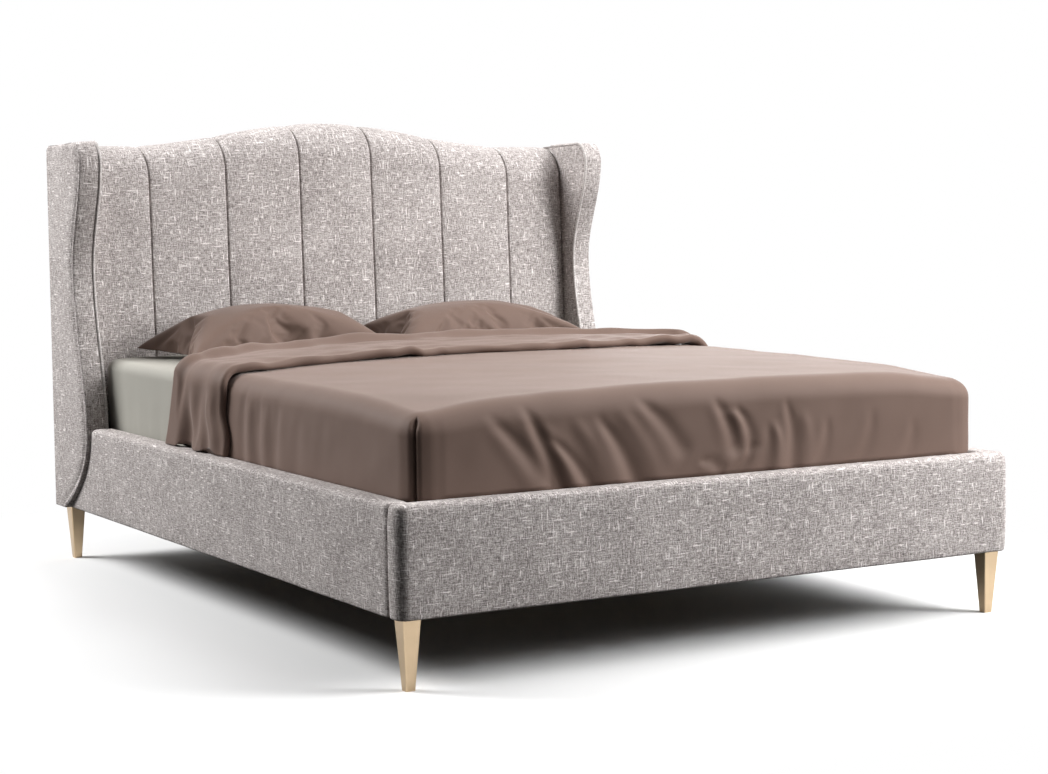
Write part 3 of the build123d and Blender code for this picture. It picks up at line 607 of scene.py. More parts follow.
def footboard():
    """The padded footboard, which turns both front corners and meets the rails at a seam."""
    radius, r_top, r_low = 0.026, 0.015, 0.006
    last_y = FOOT_IN - 0.0001
    ends = [(-HALF, FOOT_IN - d) for d in (0, 0.002, 0.006, 0.012, 0.020)]
    plan = [(-HALF + radius * (1 + c), FOOT + radius * (1 + s)) for c, s in arc(2 * QUARTER, 3 * QUARTER, 11)]
    plan += [(x, FOOT) for x in np.linspace(-HALF + radius, HALF - radius, 74)[1:-1]]
    plan += [(HALF - radius * (1 - c), FOOT + radius * (1 + s)) for c, s in arc(3 * QUARTER, 4 * QUARTER, 11)]
    plan = np.array(ends + plan + [(HALF, y) for _, y in ends[::-1]])
    out = right_of(np.gradient(plan, axis=0))
    side_seam = np.where(np.abs(plan[:, 0]) > HALF - 0.0005, np.exp(-(FOOT_IN - plan[:, 1]) / 0.004), 0)
    rows = []
    for inset, z in edge_profile(RAIL_Z0, RAIL_Z1, r_top, r_low, 20, 6, 10, 0.0024):
        ripple = 0.0006 * np.sin(9.1 * plan[:, 0] + 2.0 * z) + 0.0005 * np.sin(23 * plan[:, 0] + 17 * z)
        rows.append(row(*(plan - out * (inset + SEAM_TUCK * side_seam + ripple)[:, None]).T, z))
    # Over the top to the inner side, then down and back under
    inner_x = np.clip(plan[:, 0], -HALF + 0.03, HALF - 0.03)
    x, y = (plan - out * r_top).T
    for s in (0.25, 0.5, 0.75):
        over = np.where(y < FOOT_IN - 0.012, y + (FOOT_IN - 0.008 - y) * s, y)
        rows.append(row(x + (inner_x - x) * s, np.minimum(over, last_y), RAIL_Z1 + 0.0006 * sin(pi * s)))
    turn = ((0.0, 0.008), (0.002, 0.0035), (0.005, 0.001))
    for drop, y_in in (*turn, *((d, 0.0) for d in (0.010, 0.06, 0.13, 0.19, RAIL_Z1 - RAIL_Z0 - 0.003))):
        rows.append(row(inner_x, min(FOOT_IN - y_in, last_y), RAIL_Z1 - drop))
    said = TWEED, "bed_frame", "upholstery", "footboard_cover", 1.0
    piece("footboard_upholstery", np.vstack(rows), shell_faces(len(rows), len(plan)), *said, merge=1e-5)


footboard()


# ------------ headboard
SEAMS = np.array([-0.615, -0.369, -0.123, 0.123, 0.369, 0.615])
PAD_X = pad_high[0]
SHOULDER, PEAK = 1.230, pad_high[2]
CAMEL_HALF = 0.668
LEAN = np.tan(2.6 * pi / 180)
LEAN_FROM = 0.605
CHANNEL_DEPTH = 0.0032


def camel(x):
    """Height of the headboard's top line at x."""
    bow = (PEAK - SHOULDER) * (1 + np.cos(pi * x / CAMEL_HALF)) / 2
    return SHOULDER + np.where(np.abs(x) < CAMEL_HALF, bow, 0)


def headboard():
    """The channelled pad that rolls over the camel-back top."""
    edges = np.concatenate([[-PAD_X], SEAMS, [PAD_X]])
    # Points crowd at the seams
    close = np.array([0, 0.0011, 0.0022, 0.0036, 0.0055, 0.008, 0.012, 0.02])
    xs = [PAD_X]
    for a, b in zip(edges, edges[1:]):
        xs += [*(a + close), *(a + np.linspace(0.035, (b - a) - 0.035, 18)), *(b - close[1:])]
    xs = np.unique(np.round(xs, 6))
    to_seam = np.abs(xs[:, None] - edges).min(1)
    channel = np.clip(np.searchsorted(edges, xs) - 1, 0, len(edges) - 2)
    mid = np.clip((xs - edges[channel]) / np.diff(edges)[channel], 0, 1)
    dip = 0.0050 * bell(to_seam, 0.0022) + 0.0016 * np.exp(-to_seam / 0.010)
    dip = dip + CHANNEL_DEPTH * (2 * mid - 1) ** 4
    front, bottom = pad_low[1:]
    back, panel = pad_high[1], 1.025
    roll, low_roll, gap = 0.112, 0.006, 0.0005
    tops = camel(xs)
    roll_start = tops - roll
    rows = []
    for share in [0.0, 0.01, 0.03, *np.linspace(0.08, 1, 40)]:
        z = bottom + (roll_start - bottom) * share
        y = front + dip + np.maximum(z - LEAN_FROM, 0) * LEAN + 0.0011 * waves(xs, z, 5, 0.30)
        rows.append(row(xs, y + 0.02 * np.clip(1 - share / 0.03, 0, 1) ** 2, z))
    centre_y = front + (roll_start - LEAN_FROM) * LEAN + roll
    for c, s in arc(pi, QUARTER, 17)[1:]:
        rows.append(row(xs, centre_y + (roll - dip) * c, roll_start + (roll - dip) * s))
    _, flat_y, flat_z = rows[-1].T
    for share in (0.35, 0.7, 0.9):
        rows.append(row(xs, flat_y + (back - low_roll - flat_y) * share, flat_z - gap))
    sewn = slice(8, len(rows))
    for c, s in arc(QUARTER, 0, 6):
        rows.append(row(xs, back - low_roll * (1 - c), flat_z - gap - low_roll * (1 - s)))
    for y, z in ((back, tops - 0.050), (panel, tops - 0.050), (panel, 0.80), (panel, bottom)):
        rows.append(row(xs, y, z))
    said = TWEED, "bed_frame", "upholstery", "headboard_pad", 0.9
    piece("headboard_channels", np.vstack(rows), shell_faces(len(rows), len(xs)), *said)
    # The sewn thread line down each channel seam
    for n, seam in enumerate(SEAMS):
        path = np.array(rows)[sewn, np.abs(xs - seam).argmin()] - (0, 0.0004, 0)
        line = tube(f"channel_seam_{n + 1}", path, 0.0008, sides=6)
        dress(line, SEAM, "bed_frame", "upholstery")


headboard()


def back_lining():
    """Thin black cloth stapled over the open back of the headboard."""
    xs = np.linspace(-PAD_X, PAD_X, 90)
    z0 = lining_low[2]
    height = camel(xs) - 0.012 - z0
    studs = np.array([-PAD_X + 0.03, -0.25, 0.25, PAD_X - 0.03])
    free = np.clip(np.abs(xs[:, None] - studs).min(1) / 0.16, 0, 1)
    rows = []
    for s in np.linspace(0, 1, 60):
        z = z0 + height * s
        edge = np.clip(np.minimum(s, 1 - s) * 9, 0, 1)
        sag = 0.0007 * free**1.5 * edge
        pull = 0.0018 * (waves(xs, z, 11, 0.16) + 0.9) * edge * free
        rows.append(row(xs, lining_high[1] - 0.0004 - sag + pull, z))
    front = np.vstack(rows)
    skins = double_skin(front, front - (0, 0.0009, 0), grid_faces(len(rows), len(xs)))
    said = LINING, "bed_frame", "lining", "headboard_back_lining"
    piece("headboard_back_cloth", *skins, *said)


back_lining()


# ------------ mattress and sheet
def foot_sag(x, y):
    """How far the bedding sinks at the two foot corners."""
    return 0.020 * np.exp(-(((np.abs(x) - 0.80) / 0.17) ** 2) - ((y + 1.05) / 0.22) ** 2)


def block_rings(lo, hi, inset, corner, profile, per_side=60, per_corner=10):
    """The plan of a block as a rounded rectangle, its normals, and rings for a profile of (inset, z)."""
    centre = np.array([0, 0.5 * (lo[1] + hi[1])])
    half = np.array([hi[0], 0.5 * (hi[1] - lo[1])]) - inset - corner
    centres = [centre + half * way for way in ((-1, -1), (1, -1), (1, 1), (-1, 1))]
    plan, normals = [], []
    for n, middle in enumerate(centres):
        turn = arc((2 + n) * QUARTER, (3 + n) * QUARTER, per_corner + 1)
        plan += list(middle + corner * turn)
        step = (centres[(n + 1) % 4] - middle) / per_side
        plan += [plan[-1] + step * k for k in range(1, per_side)]
        normals += [*turn, *[turn[-1]] * (per_side - 1)]
    plan, normals = np.array(plan), np.array(normals)
    return plan, normals, centre, np.array([row(*(plan - normals * d).T, z) for d, z in profile])


def settle(rings, z0, z1):
    """Lets a block sink at its foot corners, the more the higher up."""
    sag = foot_sag(rings[:, :, 0], rings[:, :, 1])
    rings[:, :, 2] -= sag * (rings[:, :, 2] - z0) / (z1 - z0)


def mattress():
    """The mattress: a ticking-covered block with rounded edges."""
    lo, hi = mat_low, mat_high
    low_z, top_z, radius = lo[2], hi[2] - 0.005, 0.024
    insets = (0.05, 0.12, 0.25, 0.45, 0.65)
    profile = [(d, low_z) for d in insets[::-1]] + edge_profile(low_z, top_z, radius, radius)
    profile += [(d, top_z) for d in insets]
    plan, _, centre, rings = block_rings(lo, hi, 0.005, 0.093, profile)
    for ring, (inset, _) in zip(rings, profile):
        if inset > radius + 0.006:
            ring[:, :2] = centre + (plan - centre) * (1 - (inset - radius) / 0.7)
    settle(rings, low_z, top_z)
    said = TICKING, "mattress", "mattress_ticking", "mattress", 1.0
    piece("mattress_body", rings.reshape(-1, 3), tube_faces(*rings.shape[:2]), *said)


mattress()


def fitted_sheet():
    """The fitted sheet: a cotton skin over the mattress, gathered under its edge."""
    lo, hi = sheet_low, sheet_high
    z0, z1, radius = lo[2], hi[2] - 0.0004, 0.030
    side = edge_profile(z0, z1, radius, 0.0, 26, 1, 10)
    shares = (0.06, 0.10, 0.15, *np.arange(0.20, 0.93, 0.06), 0.97)
    profile = side + [(s, z1) for s in shares]
    plan, normals, centre, rings = block_rings(lo, hi, 0.0008, 0.095, profile, 130, 14)
    run = run_along(plan)
    corners = [np.hypot(plan[:, 0] - x, plan[:, 1] - y) for x in (-hi[0], hi[0]) for y in (lo[1], hi[1])]
    to_corner = np.min(corners, axis=0)
    top_share = 1 - radius / np.array([hi[0], 1.0])
    for ring, (inset, z) in zip(rings[: len(side)], side):
        low = np.clip((z1 - z) / (z1 - z0), 0, 1)
        ripple = 0.0016 * waves(run, z * 0.35, 21, 0.085, 11) * low
        gather = 0.0016 * np.sin(run * 2 * pi / 0.021 + 2 * np.sin(run * 9)) * low**3
        gather = gather * (0.25 + np.exp(-to_corner / 0.18))
        pull = 0.0012 * swing((run + 0.7 * z) / 0.052) * np.exp(-to_corner / 0.11)
        ring[:, :2] -= normals * np.maximum(0.0015 + ripple + gather + pull, 0.0)[:, None]
    for ring, share in zip(rings[len(side) :], shares):
        ring[:, :2] = centre + (plan - centre) * (1 - share) * top_share
        x, y = ring[:, 0], ring[:, 1]
        lift = 0.0010 * waves(x, y, 23, 0.17, 12) + 0.0007 * waves(x, y * 0.4, 29, 0.07, 12)
        ring[:, 2] = z1 - 0.0012 + np.minimum(lift, 0.0011)
    settle(rings, z0, z1)
    faces = tube_faces(*rings.shape[:2])
    # Open below, so without the first cap
    obj = smooth_object("fitted_sheet_cloth", rings.reshape(-1, 3), faces[:-2] + faces[-1:])
    solid = obj.modifiers.new("thickness", "SOLIDIFY")
    solid.thickness = 0.0009
    solid.offset = -1
    dress(obj, COTTON, "mattress", "sheet_cotton", "fitted_sheet")


fitted_sheet()


# ------------ duvet
SIDE_Z = 0.619
HEM_Z = 0.388
ROLL = 0.055
DUVET_X = 0.8065
DUVET_FOOT = FOOT_IN + 0.0015
DUVET_HEAD = 0.41
SPLIT_Z = 0.578
RAIL_EDGE_Z = 0.398

# Foot folds in mm: x and z of both ends, half width and depth; minus is a ridge
FOOT_FOLDS = [
    (-600, 575, -440, 395, 16, 8.5),
    (-515, 590, -425, 400, 15, 10),
    (-450, 525, -350, 405, 12, 9),
    (-320, 560, -225, 405, 15, 10),
    (-210, 596, -105, 490, 15, 8.5),
    (0, 585, 60, 475, 14, 8),
    (-45, 450, 10, 425, 12, 5),
    (62, 565, 104, 478, 12, 8),
    (104, 478, 50, 405, 12, 7),
    (207, 570, 224, 430, 12, 6),
    (330, 520, 300, 410, 14, 4.5),
    (470, 530, 425, 405, 15, 4),
    (600, 500, 570, 405, 15, 3),
    (-480, 560, -395, 410, 16, -6),
    (-390, 560, -295, 410, 18, -5.5),
    (-270, 575, -170, 430, 18, -5),
    (30, 560, 70, 500, 14, -5),
    (169, 520, 169, 410, 13, -8),
    (255, 540, 262, 420, 16, -4.5),
]
# Folds of the left side the same way, with y for x, and of the right side, moved along a little
LEFT_FOLDS = [
    (-160, 585, -130, 400, 16, 5),
    (-250, 570, -230, 400, 18, 4.5),
    (-360, 560, -330, 400, 20, 3.5),
    (-200, 570, -185, 400, 14, -4),
    (-300, 560, -280, 400, 16, -3.5),
    (-480, 540, -450, 400, 24, 2.5),
    (-620, 540, -580, 400, 28, 2),
]
RIGHT_FOLDS = np.array(LEFT_FOLDS) * (0.93, 1, 0.93, 1, 1, 1) - (50, 0, 30, 0, 0, 0)


def duvet_top(x, y):
    """Height of the duvet's top surface over the mattress."""
    crown = 0.016 * (1 - np.abs(x / 0.80) ** 2.2)
    along = 0.004 * np.sin(pi * np.clip((y + 1.05) / 1.4, 0, 1))
    soft = 0.0022 * waves(x, y, 31, 0.42, 10) + 0.0009 * waves(x, y, 37, 0.15, 12)
    return SIDE_Z - 0.002 + crown + along + soft - foot_sag(x, y)


def fold_depth(p, z, folds):
    """Signed depth of the folds at points p along the edge and height z."""
    total = np.zeros_like(p)
    for p0, z0, p1, z1, half, depth in 0.001 * np.array(folds):
        length = np.hypot(p1 - p0, z1 - z0)
        dp, dz = (p1 - p0) / length, (z1 - z0) / length
        t = ((p - p0) * dp + (z - z0) * dz) / length
        across = (p - p0) * dz - (z - z0) * dp + 0.008 * np.sin(pi * np.clip(t, 0, 1))
        fade = step01((t + 0.18) / 0.40) * step01((1.30 - t) / 0.25)
        grow = half * (0.85 + 0.75 * np.clip(t, 0, 1))
        total += 0.66 * depth * fade * (bell(across, grow) - 0.45 * bell(across - 1.7 * grow, 1.1 * grow))
    return total


def cuff_head(x):
    """The plan line of the fold at the duvet's head."""
    return 0.448 - 0.215 * (np.abs(x) / 0.82) ** 2.6


def duvet_grid(side, foot, corner=0.005):
    """Points over the duvet's top, with small round corners at its foot."""
    inner_x, inner_y = side - corner, foot + corner
    # Points crowd towards the corner, where the skirt splits
    crowd = corner * np.array([0, 0.2, 0.4, 0.55, 0.68, 0.78, 0.85, 0.90, 0.935, 0.96, 0.98, 1.0])
    right = np.concatenate([np.linspace(inner_x - 0.05, inner_x, 14)[1:], inner_x + crowd[1:]])
    xs = np.concatenate([-right[::-1], np.linspace(-inner_x + 0.05, inner_x - 0.05, 250), right])
    near_foot = [inner_y - crowd[:0:-1], np.linspace(inner_y, inner_y + 0.05, 14)[:-1]]
    x, y = np.meshgrid(xs, np.concatenate([*near_foot, np.linspace(inner_y + 0.05, DUVET_HEAD, 170)]))
    u, v = np.maximum(np.abs(x) - inner_x, 0) / corner, np.maximum(inner_y - y, 0) / corner
    turned = (u > 0) & (v > 0)
    x = np.where(turned, np.sign(x) * (inner_x + corner * u * np.sqrt(1 - v * v / 2)), x)
    y = np.where(turned, inner_y - corner * v * np.sqrt(1 - u * u / 2), y)
    y = np.where(y > 0, y * (cuff_head(x) - 0.035) / DUVET_HEAD, y)
    return np.stack([x, y, duvet_top(x, y)], 2)


def duvet():
    """The duvet: a soft top with skirts that hang inside the rails and split at the foot corners."""
    side, foot = DUVET_X - ROLL, DUVET_FOOT + ROLL
    top = duvet_grid(side, foot)
    # The U-shaped rim: down the left side, round the foot and back up the right
    ids = np.arange(top[:, :, 0].size).reshape(top.shape[:2])
    rim = np.concatenate([ids[::-1, 0], ids[0, 1:], ids[1:, -1]])
    loop = top.reshape(-1, 3)[rim]
    edge = loop[:, :2]
    out = right_of(np.gradient(edge, axis=0))
    for k, place, normal in ((0, -side, (-1, 0)), (0, side, (1, 0)), (1, foot, (0, -1))):
        out[np.abs(edge[:, k] - place) < 1e-6] = normal
    run, skirt_run = run_along(edge), run_along(edge + out * ROLL)
    corners = [np.hypot(edge[:, 0] - x, edge[:, 1] - foot).argmin() for x in (-side, side)]
    from_left, from_right = (run - run[mid] for mid in corners)
    on_foot = step01(from_left / 0.03) * step01(-from_right / 0.03)
    parts = [(0, FOOT_FOLDS, on_foot), (1, LEFT_FOLDS, step01(-from_left / 0.05))]
    parts.append((1, RIGHT_FOLDS, step01(from_right / 0.05)))
    # Way out, way down and share of the folds: round the edge, then straight down
    drops = [(ROLL * s, ROLL * (1 - c), s) for c, s in arc(0, QUARTER, 15)[1:]]
    drops += [(ROLL, SIDE_Z - z, 1.0) for z in np.linspace(SIDE_Z - ROLL, HEM_Z, 62)[1:]]
    skirt = []
    faces = grid_faces(*top.shape[:2])
    last = rim
    for way_out, way_down, push in drops:
        # Heights even out on the way down so that the hem is level
        share = np.clip(way_down / (SIDE_Z - HEM_Z), 0, 1)
        z = loop[:, 2] - way_down
        z = z + (SIDE_Z - way_down - z) * share
        folds = sum(fold_depth(edge[:, k], z, table) * on for k, table, on in parts)
        soft = 0.0016 * waves(run, z * 1.5, 41, 0.21, 10) + 0.0008 * waves(run, z, 43, 0.09, 12)
        # Corner slits: a narrow gap with a soft bulge on each side, widening at the top
        gap_in, bulge = 0.0, 0.0
        ready = step01((SIDE_Z - 0.026 - z) / 0.012)
        wide = 0.0030 + 0.0034 * bell(z - SPLIT_Z, 0.010)
        for mid in corners:
            away = np.abs(skirt_run - skirt_run[mid])
            gap_in = gap_in + 0.0150 * bell(away, wide) * ready
            bulge = bulge + 0.0024 * bell(away - 0.012, 0.008) * ready
        # The skirt billows over the top edge of the rails and stays inside them below
        over = step01((z - RAIL_EDGE_Z - 0.007 * on_foot) / 0.016)
        billow = (0.0062 * on_foot + 0.0042 * (1 - on_foot)) * over
        tuck = 0.0016 * step01((0.412 - z) / 0.02)
        move = (billow - folds * (0.35 + 0.65 * over) - soft * 0.7 - tuck) * push
        least = -0.0022
        move = np.where(move < least, least - 0.0006 * np.tanh((least - move) / 0.004), move)
        limit = 0.0006 + 0.0150 * step01((z - 0.402) / 0.022)
        knee, room = 0.7 * limit, 0.3 * limit
        move = np.where(move > knee, knee + room * np.tanh((move - knee) / room), move)
        move = way_out + move + (bulge * over - gap_in) * push
        ring = ids.size + len(skirt) * len(rim) + np.arange(len(rim))
        skirt.append(row(*(edge + out * move[:, None]).T, z + 0.0015 * waves(run, z, 47, 0.12, 8) * share))
        faces += list(zip(*(a.tolist() for a in (last[:-1], ring[:-1], ring[1:], last[1:]))))
        last = ring
    # Folds run on a little over the top of the foot edge
    reach = np.clip((foot + 0.10 - top[:, :, 1]) / 0.10, 0, 1)
    top[:, :, 2] -= fold_depth(top[:, :, 0], 0.62, FOOT_FOLDS) * 0.4 * reach**2
    # Thickness: an inner skin a little inside, joined round the hem
    outer = np.vstack([top.reshape(-1, 3), *skirt])
    probe = smooth_object("duvet_probe", outer, faces)
    thick = 0.0040 + 0.0070 * np.clip((outer[:, 2] - 0.585) / 0.025, 0, 1)
    inner = outer - get_coords(probe, "normal") * thick[:, None]
    bpy.data.objects.remove(probe)
    sheet_top = sheet_high[2] + 0.0008 - foot_sag(outer[:, 0], outer[:, 1])
    inner[:, 2] = np.where(outer[:, 2] > 0.605, np.maximum(inner[:, 2], sheet_top), inner[:, 2])
    piece("duvet_cover", *double_skin(outer, inner, faces), SATIN, "duvet", "satin_bedding", "duvet", 0.5)


duvet()


def cuff():
    """The turned-back head of the duvet: a double layer that rolls at the fold and hangs over the sides."""
    bend, half, low_z, far_x = 0.034, 0.8105, 0.418, 0.842
    lip, roll, top_h = 0.011, 0.019, 0.026
    # Run of the base line from the left hem over the top to the right hem, by length
    flat, arc_len, drop = half - bend, QUARTER * bend, SIDE_Z - bend - low_z
    total = 2 * (drop + arc_len + flat)
    s = [np.linspace(0, drop, 34)[:-1], np.linspace(drop, drop + arc_len, 16)[:-1]]
    s = np.concatenate([*s, np.linspace(drop + arc_len, total / 2, 130)])
    s = np.concatenate([s, total - s[:-1][::-1]])
    half_run = np.minimum(s, total - s)
    past = half_run - drop
    side = np.where(s < total / 2, -1.0, 1.0)
    turn = np.clip(past / arc_len, 0, 1) * QUARTER
    nx, nz = np.cos(turn), np.sin(turn)
    x = side * np.where(past < 0, half, np.where(past < arc_len, flat + bend * nx, flat - (past - arc_len)))
    z = np.where(past < 0, low_z + half_run, SIDE_Z - bend + bend * nz)
    crown = np.where(past > 0, duvet_top(x, 0.22) - SIDE_Z, 0) * step01(past / 0.08)
    on_side = 1 - step01((half_run - drop * 0.9) / (arc_len + 0.05))
    # Plan lines of the front hem and of the head fold
    down = np.clip(-(past - arc_len) / (drop + arc_len), 0, 1)
    front = 0.052 + np.where(x > 0, 0.095, -0.100) * (np.abs(x) / 0.82) ** 2.4 - 0.020 * down
    front = front + 0.013 * waves(s, 0, 51, 0.38, 7) + 0.0085 * waves(s, 0, 53, 0.13, 9)
    head = cuff_head(x) + 0.085 * down**1.2 + 0.008 * waves(s, 3, 57, 0.35, 7)
    span = head - front
    # Section: round the front lip, along the top, over the head roll and back along the underside
    section = [(front + lip * (1 - c), lip * (1 + sn)) for c, sn in arc(-QUARTER, QUARTER, 9)]
    for share in np.arange(1, 40) / 40:
        thick = 2 * lip + (top_h - 2 * lip) * step01(share / 0.12)
        thick = thick + (2 * roll + 0.004 - top_h) * step01((share - 0.86) / 0.14)
        thick = thick - 0.003 * bell(share - 0.84, 0.06)
        section.append((front + lip + (span - lip - roll) * share, thick))
    section += [(head - roll * (1 - c), (roll + 0.002) * (1 + sn)) for c, sn in arc(QUARTER, -QUARTER, 11)]
    section += [(head - roll - (span - roll - lip) * share, 0.0) for share in np.arange(1, 12) / 12]
    # The hem stands up from the duvet here and there
    lift = np.maximum(0.0120 * waves(s, 1, 67, 0.30, 8) + 0.006 * waves(s, 0, 68, 0.11, 8), 0)
    # Broad folds fan out down the sides, and light creases run over the top
    lean = 1.6 * (SIDE_Z - z)
    grow = step01((SIDE_Z - 0.005 - z) / 0.15)
    rows = []
    for y, height in section:
        u = (y - front) / span
        fan = 0.55 * swing(1.75 * u + 0.02 - lean) + 0.45 * swing(2.6 * u - 0.22 + 0.8 * lean)
        hang = 0.0165 * fan * (0.25 + 0.75 * grow) + 0.003 * swing(5.1 * u + 0.4) * grow
        crease = 0.0052 * waves(x * 0.5 + y * 0.3, y, 61, 0.14, 11) + 0.0014 * waves(x * 0.5, y, 63, 0.06, 12)
        pleat = hang * on_side * np.sin(pi * np.clip(u, 0.03, 0.97)) ** 0.5 + crease * (1 - on_side)
        up = np.maximum(height + pleat * np.clip(height / 0.02, 0, 1), 0.0)
        base = 0.0012 + crown + lift * np.exp(-np.maximum(y - front, 0) / 0.030) * (1 - on_side)
        rows.append(row(np.clip(x + side * nx * up, -far_x, far_x), y, z + base * nz + nz * up))
    grid = np.array(rows).transpose(1, 0, 2)
    # Lumpy lower hem: the ends drop by a varied amount
    y = grid[:, :, 1]
    hem_wave = 0.009 * np.sin(2 * pi * y / 0.17 + 0.6) + 0.0022 * swing(y / 0.067)
    grid[:, :, 2] += np.maximum(hem_wave, -0.004) * np.clip(1 - half_run / (drop * 0.6), 0, 1)[:, None]
    faces = tube_faces(*grid.shape[:2])
    piece("duvet_cuff", grid.reshape(-1, 3), faces, SATIN, "duvet", "satin_bedding", fill=0.5)


cuff()


# ------------ pillows
PILLOW_PRESS = 4.0
PILLOW_FRAMES = 26
PILLOW_CLOTH = {"quality": 6, "mass": 0.30, "tension_stiffness": 15, "compression_stiffness": 15}
PILLOW_CLOTH |= {"shear_stiffness": 5, "bending_stiffness": 0.5, "air_damping": 1.0}
FILLING = {"use_pressure": True, "uniform_pressure_force": PILLOW_PRESS}


def keep_shape(obj):
    """Replaces an object's mesh by its shape with all modifiers, and drops these."""
    mesh = bpy.data.meshes.new_from_object(obj.evaluated_get(bpy.context.evaluated_depsgraph_get()))
    obj.modifiers.clear()
    obj.data = mesh


def fill_pillow(obj):
    """Blows up a flat sewn cover with its filling."""
    mod = obj.modifiers.new("cloth", "CLOTH")
    for key, value in (PILLOW_CLOTH | FILLING).items():
        setattr(mod.settings, key, value)
    mod.settings.effector_weights.gravity = 0
    mod.point_cache.frame_start = 1
    mod.point_cache.frame_end = PILLOW_FRAMES
    for f in range(1, PILLOW_FRAMES + 1):
        bpy.context.scene.frame_set(f)
    keep_shape(obj)
    bpy.context.scene.frame_set(1)


def sewn_cover(size, seed, nx=84, ny=58):
    """Points and faces of two layers of cloth that share their rim, puffed a little."""
    u, v = np.meshgrid(np.linspace(-1, 1, nx), np.linspace(-1, 1, ny))
    px, py = 0.5 * size[0] * u, 0.5 * size[1] * v
    swell = (np.clip(1 - u**2, 0, 1) * np.clip(1 - v**2, 0, 1)) ** 0.5
    uneven = 1 + 0.35 * waves(px, py, 91 + seed, 0.16, 9)
    puff = 0.020 * swell * uneven + 0.0015 * np.clip(swell * 20, 0, 1)
    top, low = (np.stack([px, py, h], 2).reshape(-1, 3) for h in (puff, -puff))
    rim = grid_rim(np.arange(nx * ny).reshape(ny, nx))
    top[rim, 2] = 0.0
    inside = np.setdiff1d(np.arange(nx * ny), rim)
    # Point numbers of the lower layer: its own inside the rim
    below = np.arange(nx * ny)
    below[inside] = nx * ny + np.arange(len(inside))
    faces = grid_faces(ny, nx)
    faces += [tuple(below[i] for i in reversed(f)) for f in faces]
    return np.vstack([top, low[inside]]), faces


def pillow(side, seed, more):
    """A filled pillow: two sewn layers blown up by the filling and set down on the sheet."""
    lo, hi = (np.array(v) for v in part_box(f"pillow_{side}"))
    centre, size = 0.5 * (lo + hi), hi - lo
    obj = smooth_object(f"pillow_{side}_cover", *sewn_cover(size, seed))
    face_out(obj)
    fill_pillow(obj)
    # Set it down in its place: the underside lies nearly flat on the sheet
    co = get_coords(obj)
    low, high = co.min(0), co.max(0)
    middle = 0.5 * (low + high)
    flatter = 0.07
    half_h = 0.5 * (high[2] - low[2])
    z = co[:, 2] - middle[2]
    z = np.where(z < 0, z * flatter, z) + half_h * flatter
    co[:, 2] = lo[2] + z * (size[2] + more) / (half_h * (1 + flatter))
    co[:, :2] = (co[:, :2] - middle[:2]) * size[:2] / (high - low)[:2] + centre[:2]
    # It leans up on the headboard a little
    co[:, 2] += 0.016 * np.clip((co[:, 1] - lo[1]) / size[1], 0, 1)
    obj.data.vertices.foreach_set("co", co.reshape(-1))
    obj.data.update()
    sub = obj.modifiers.new("smooth", "SUBSURF")
    sub.levels = sub.render_levels = 1
    keep_shape(obj)
    shade_smooth(obj)
    dress(obj, SATIN, f"pillow_{side}", "satin_bedding", f"pillow_{side}", 0.7)


pillow("left", 1, 0.010)
pillow("right", 4, -0.004)


# ------------ floor, light and camera
WHITE = (1, 1, 1, 1)
FLOOR_SEEN = (0.73, 0.73, 0.73, 1)
FLOOR_BOUNCE = (0.05, 0.05, 0.05, 1)
FLOOR_SIZE = 60
FOCAL_PX = 2219.29
PHOTO_WIDTH = 1048.0
SENSOR = 36.0
CAMERA_PLACE = (-3.01616, -5.30828, 1.07799)
AZ, PITCH, TURN = 0.53031, 0.087213, -0.009767


def show_apart(t, others, seen, output):
    """Sends one shader to rays from the camera, also by way of a mirror, and the other to all the rest."""
    path = t.node("LightPath").outputs
    mirrored = t.math("MAXIMUM", path["Is Glossy Ray"], path["Is Transmission Ray"])
    direct = t.math("MAXIMUM", path["Is Camera Ray"], mirrored)
    mix = t.node("MixShader", {0: direct, 1: others.outputs[0], 2: seen.outputs[0]})
    t.put(output, {"Surface": mix.outputs[0]})


def stage():
    """White floor that keeps the bed's shadow and turns plain white away from it."""
    corners = [(-1, -1, 0), (1, -1, 0), (1, 1, 0), (-1, 1, 0)]
    floor = smooth_object("floor", FLOOR_SIZE * np.array(corners), [(0, 1, 2, 3)])
    mat, t, bsdf = new_material("floor_white")
    t.t.nodes.remove(bsdf)
    near, bounce = (t.node("BsdfDiffuse", {"Color": color}) for color in (FLOOR_SEEN, FLOOR_BOUNCE))
    x, y, _ = t.node("SeparateXYZ", {0: t.node("TexCoord").outputs["Object"]}).outputs
    outside = (t.math("SUBTRACT", t.math("ABSOLUTE", p), half) for p, half in ((x, 0.9), (y, 1.1)))
    dx, dy = (t.math("MAXIMUM", p, 0.0) for p in outside)
    away = t.math("SQRT", t.add(t.mul(dx, dx), t.mul(dy, dy)))
    fade = t.spread(away, 0.15, 0.95, "From", interpolation_type="SMOOTHSTEP")
    seen = t.node("MixShader", {0: fade, 1: near.outputs[0], 2: t.node("Emission").outputs[0]})
    show_apart(t, bounce, seen, t.t.nodes["Material Output"])
    paint(floor, mat)


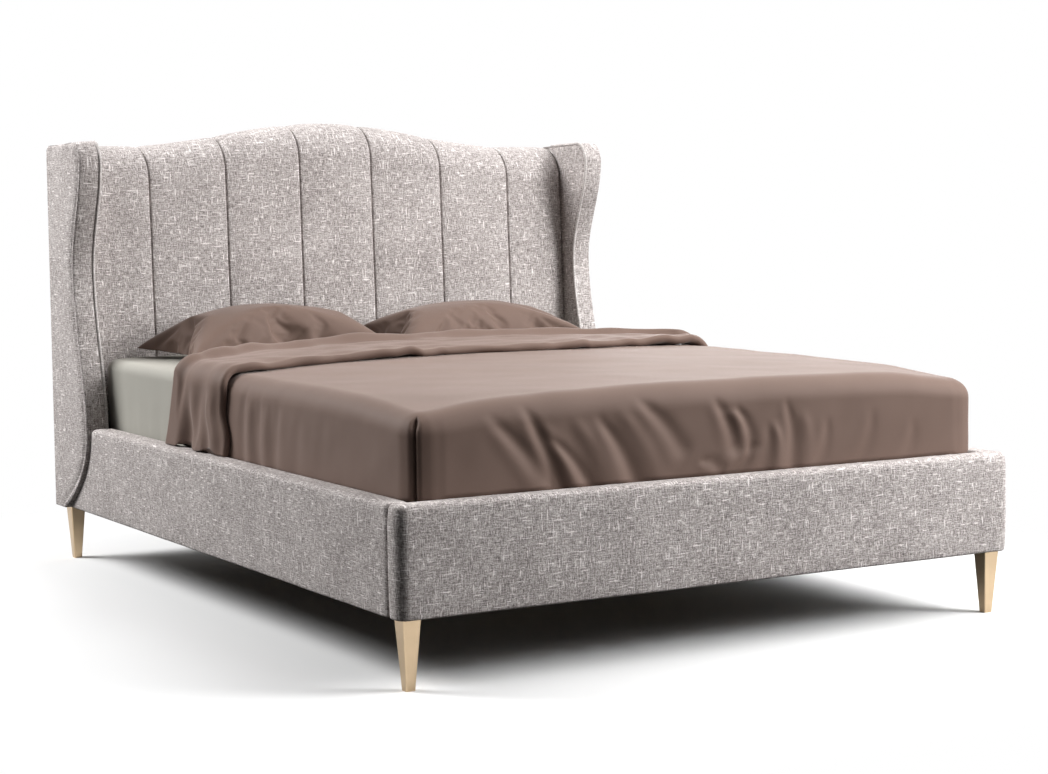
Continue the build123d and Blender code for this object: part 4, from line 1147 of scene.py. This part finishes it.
def backdrop():
    """White surroundings for the camera and for reflections, dim for everything else."""
    world = bpy.data.worlds.new("world")
    bpy.context.scene.world = world
    world.use_nodes = True
    t = Tree(world.node_tree)
    soft = t.t.nodes["Background"]
    t.put(soft, {"Color": WHITE, "Strength": 0.08})
    show_apart(t, soft, t.node("Background", {"Color": WHITE, "Strength": 1.0}), t.t.nodes["World Output"])


def aim(obj, right, up, back, place):
    """Places an object, with its own three directions."""
    obj.matrix_world = Matrix([[right[k], up[k], back[k], place[k]] for k in range(3)] + [[0, 0, 0, 1]])


def area_light(name, place, target, size, power):
    """An area light aimed at a point."""
    data = bpy.data.lights.new(name, "AREA")
    data.shape = "RECTANGLE"
    data.size, data.size_y = size
    data.energy = power
    back = unit(np.subtract(place, target).astype(float))
    right = unit(np.cross([0, 0, 1.0], back))
    aim(link(bpy.data.objects.new(name, data)), right, np.cross(back, right), back, place)


def camera():
    """The camera that took the photograph, from the edges of the bed."""
    data = bpy.data.cameras.new("camera")
    data.sensor_fit = "HORIZONTAL"
    data.sensor_width = SENSOR
    data.lens = FOCAL_PX * SENSOR / PHOTO_WIDTH
    ahead = np.array([sin(AZ) * cos(PITCH), cos(AZ) * cos(PITCH), -sin(PITCH)])
    level = np.array([cos(AZ), -sin(AZ), 0.0])
    up = np.cross(level, ahead)
    right, up = cos(TURN) * level + sin(TURN) * up, cos(TURN) * up - sin(TURN) * level
    cam = link(bpy.data.objects.new("camera", data))
    bpy.context.scene.camera = cam
    aim(cam, right, up, -ahead, CAMERA_PLACE)


stage()
backdrop()
area_light("light_left", (-4.0, 3.1, 4.2), (-0.3, 0.2, 0.4), (3.2, 2.8), 540)
area_light("light_right", (3.1, -3.0, 3.2), (0.2, 0.3, 0.6), (2.6, 2.6), 222)
area_light("light_low", (3.0, -3.5, 1.9), (0.7, -0.6, 0.4), (1.6, 1.2), 64)
area_light("light_top", (2.2, -0.8, 4.4), (0.4, 0, 0.2), (3.4, 3.4), 205)
area_light("light_far", (5.4, 5.6, 2.6), (0.5, -0.3, 0.6), (4.5, 2.6), 175)
area_light("light_end", (2.3, -2.6, 1.5), (0.85, -1.1, 0.4), (0.7, 0.7), 30)
camera()
bpy.context.scene.view_settings.view_transform = "Standard"
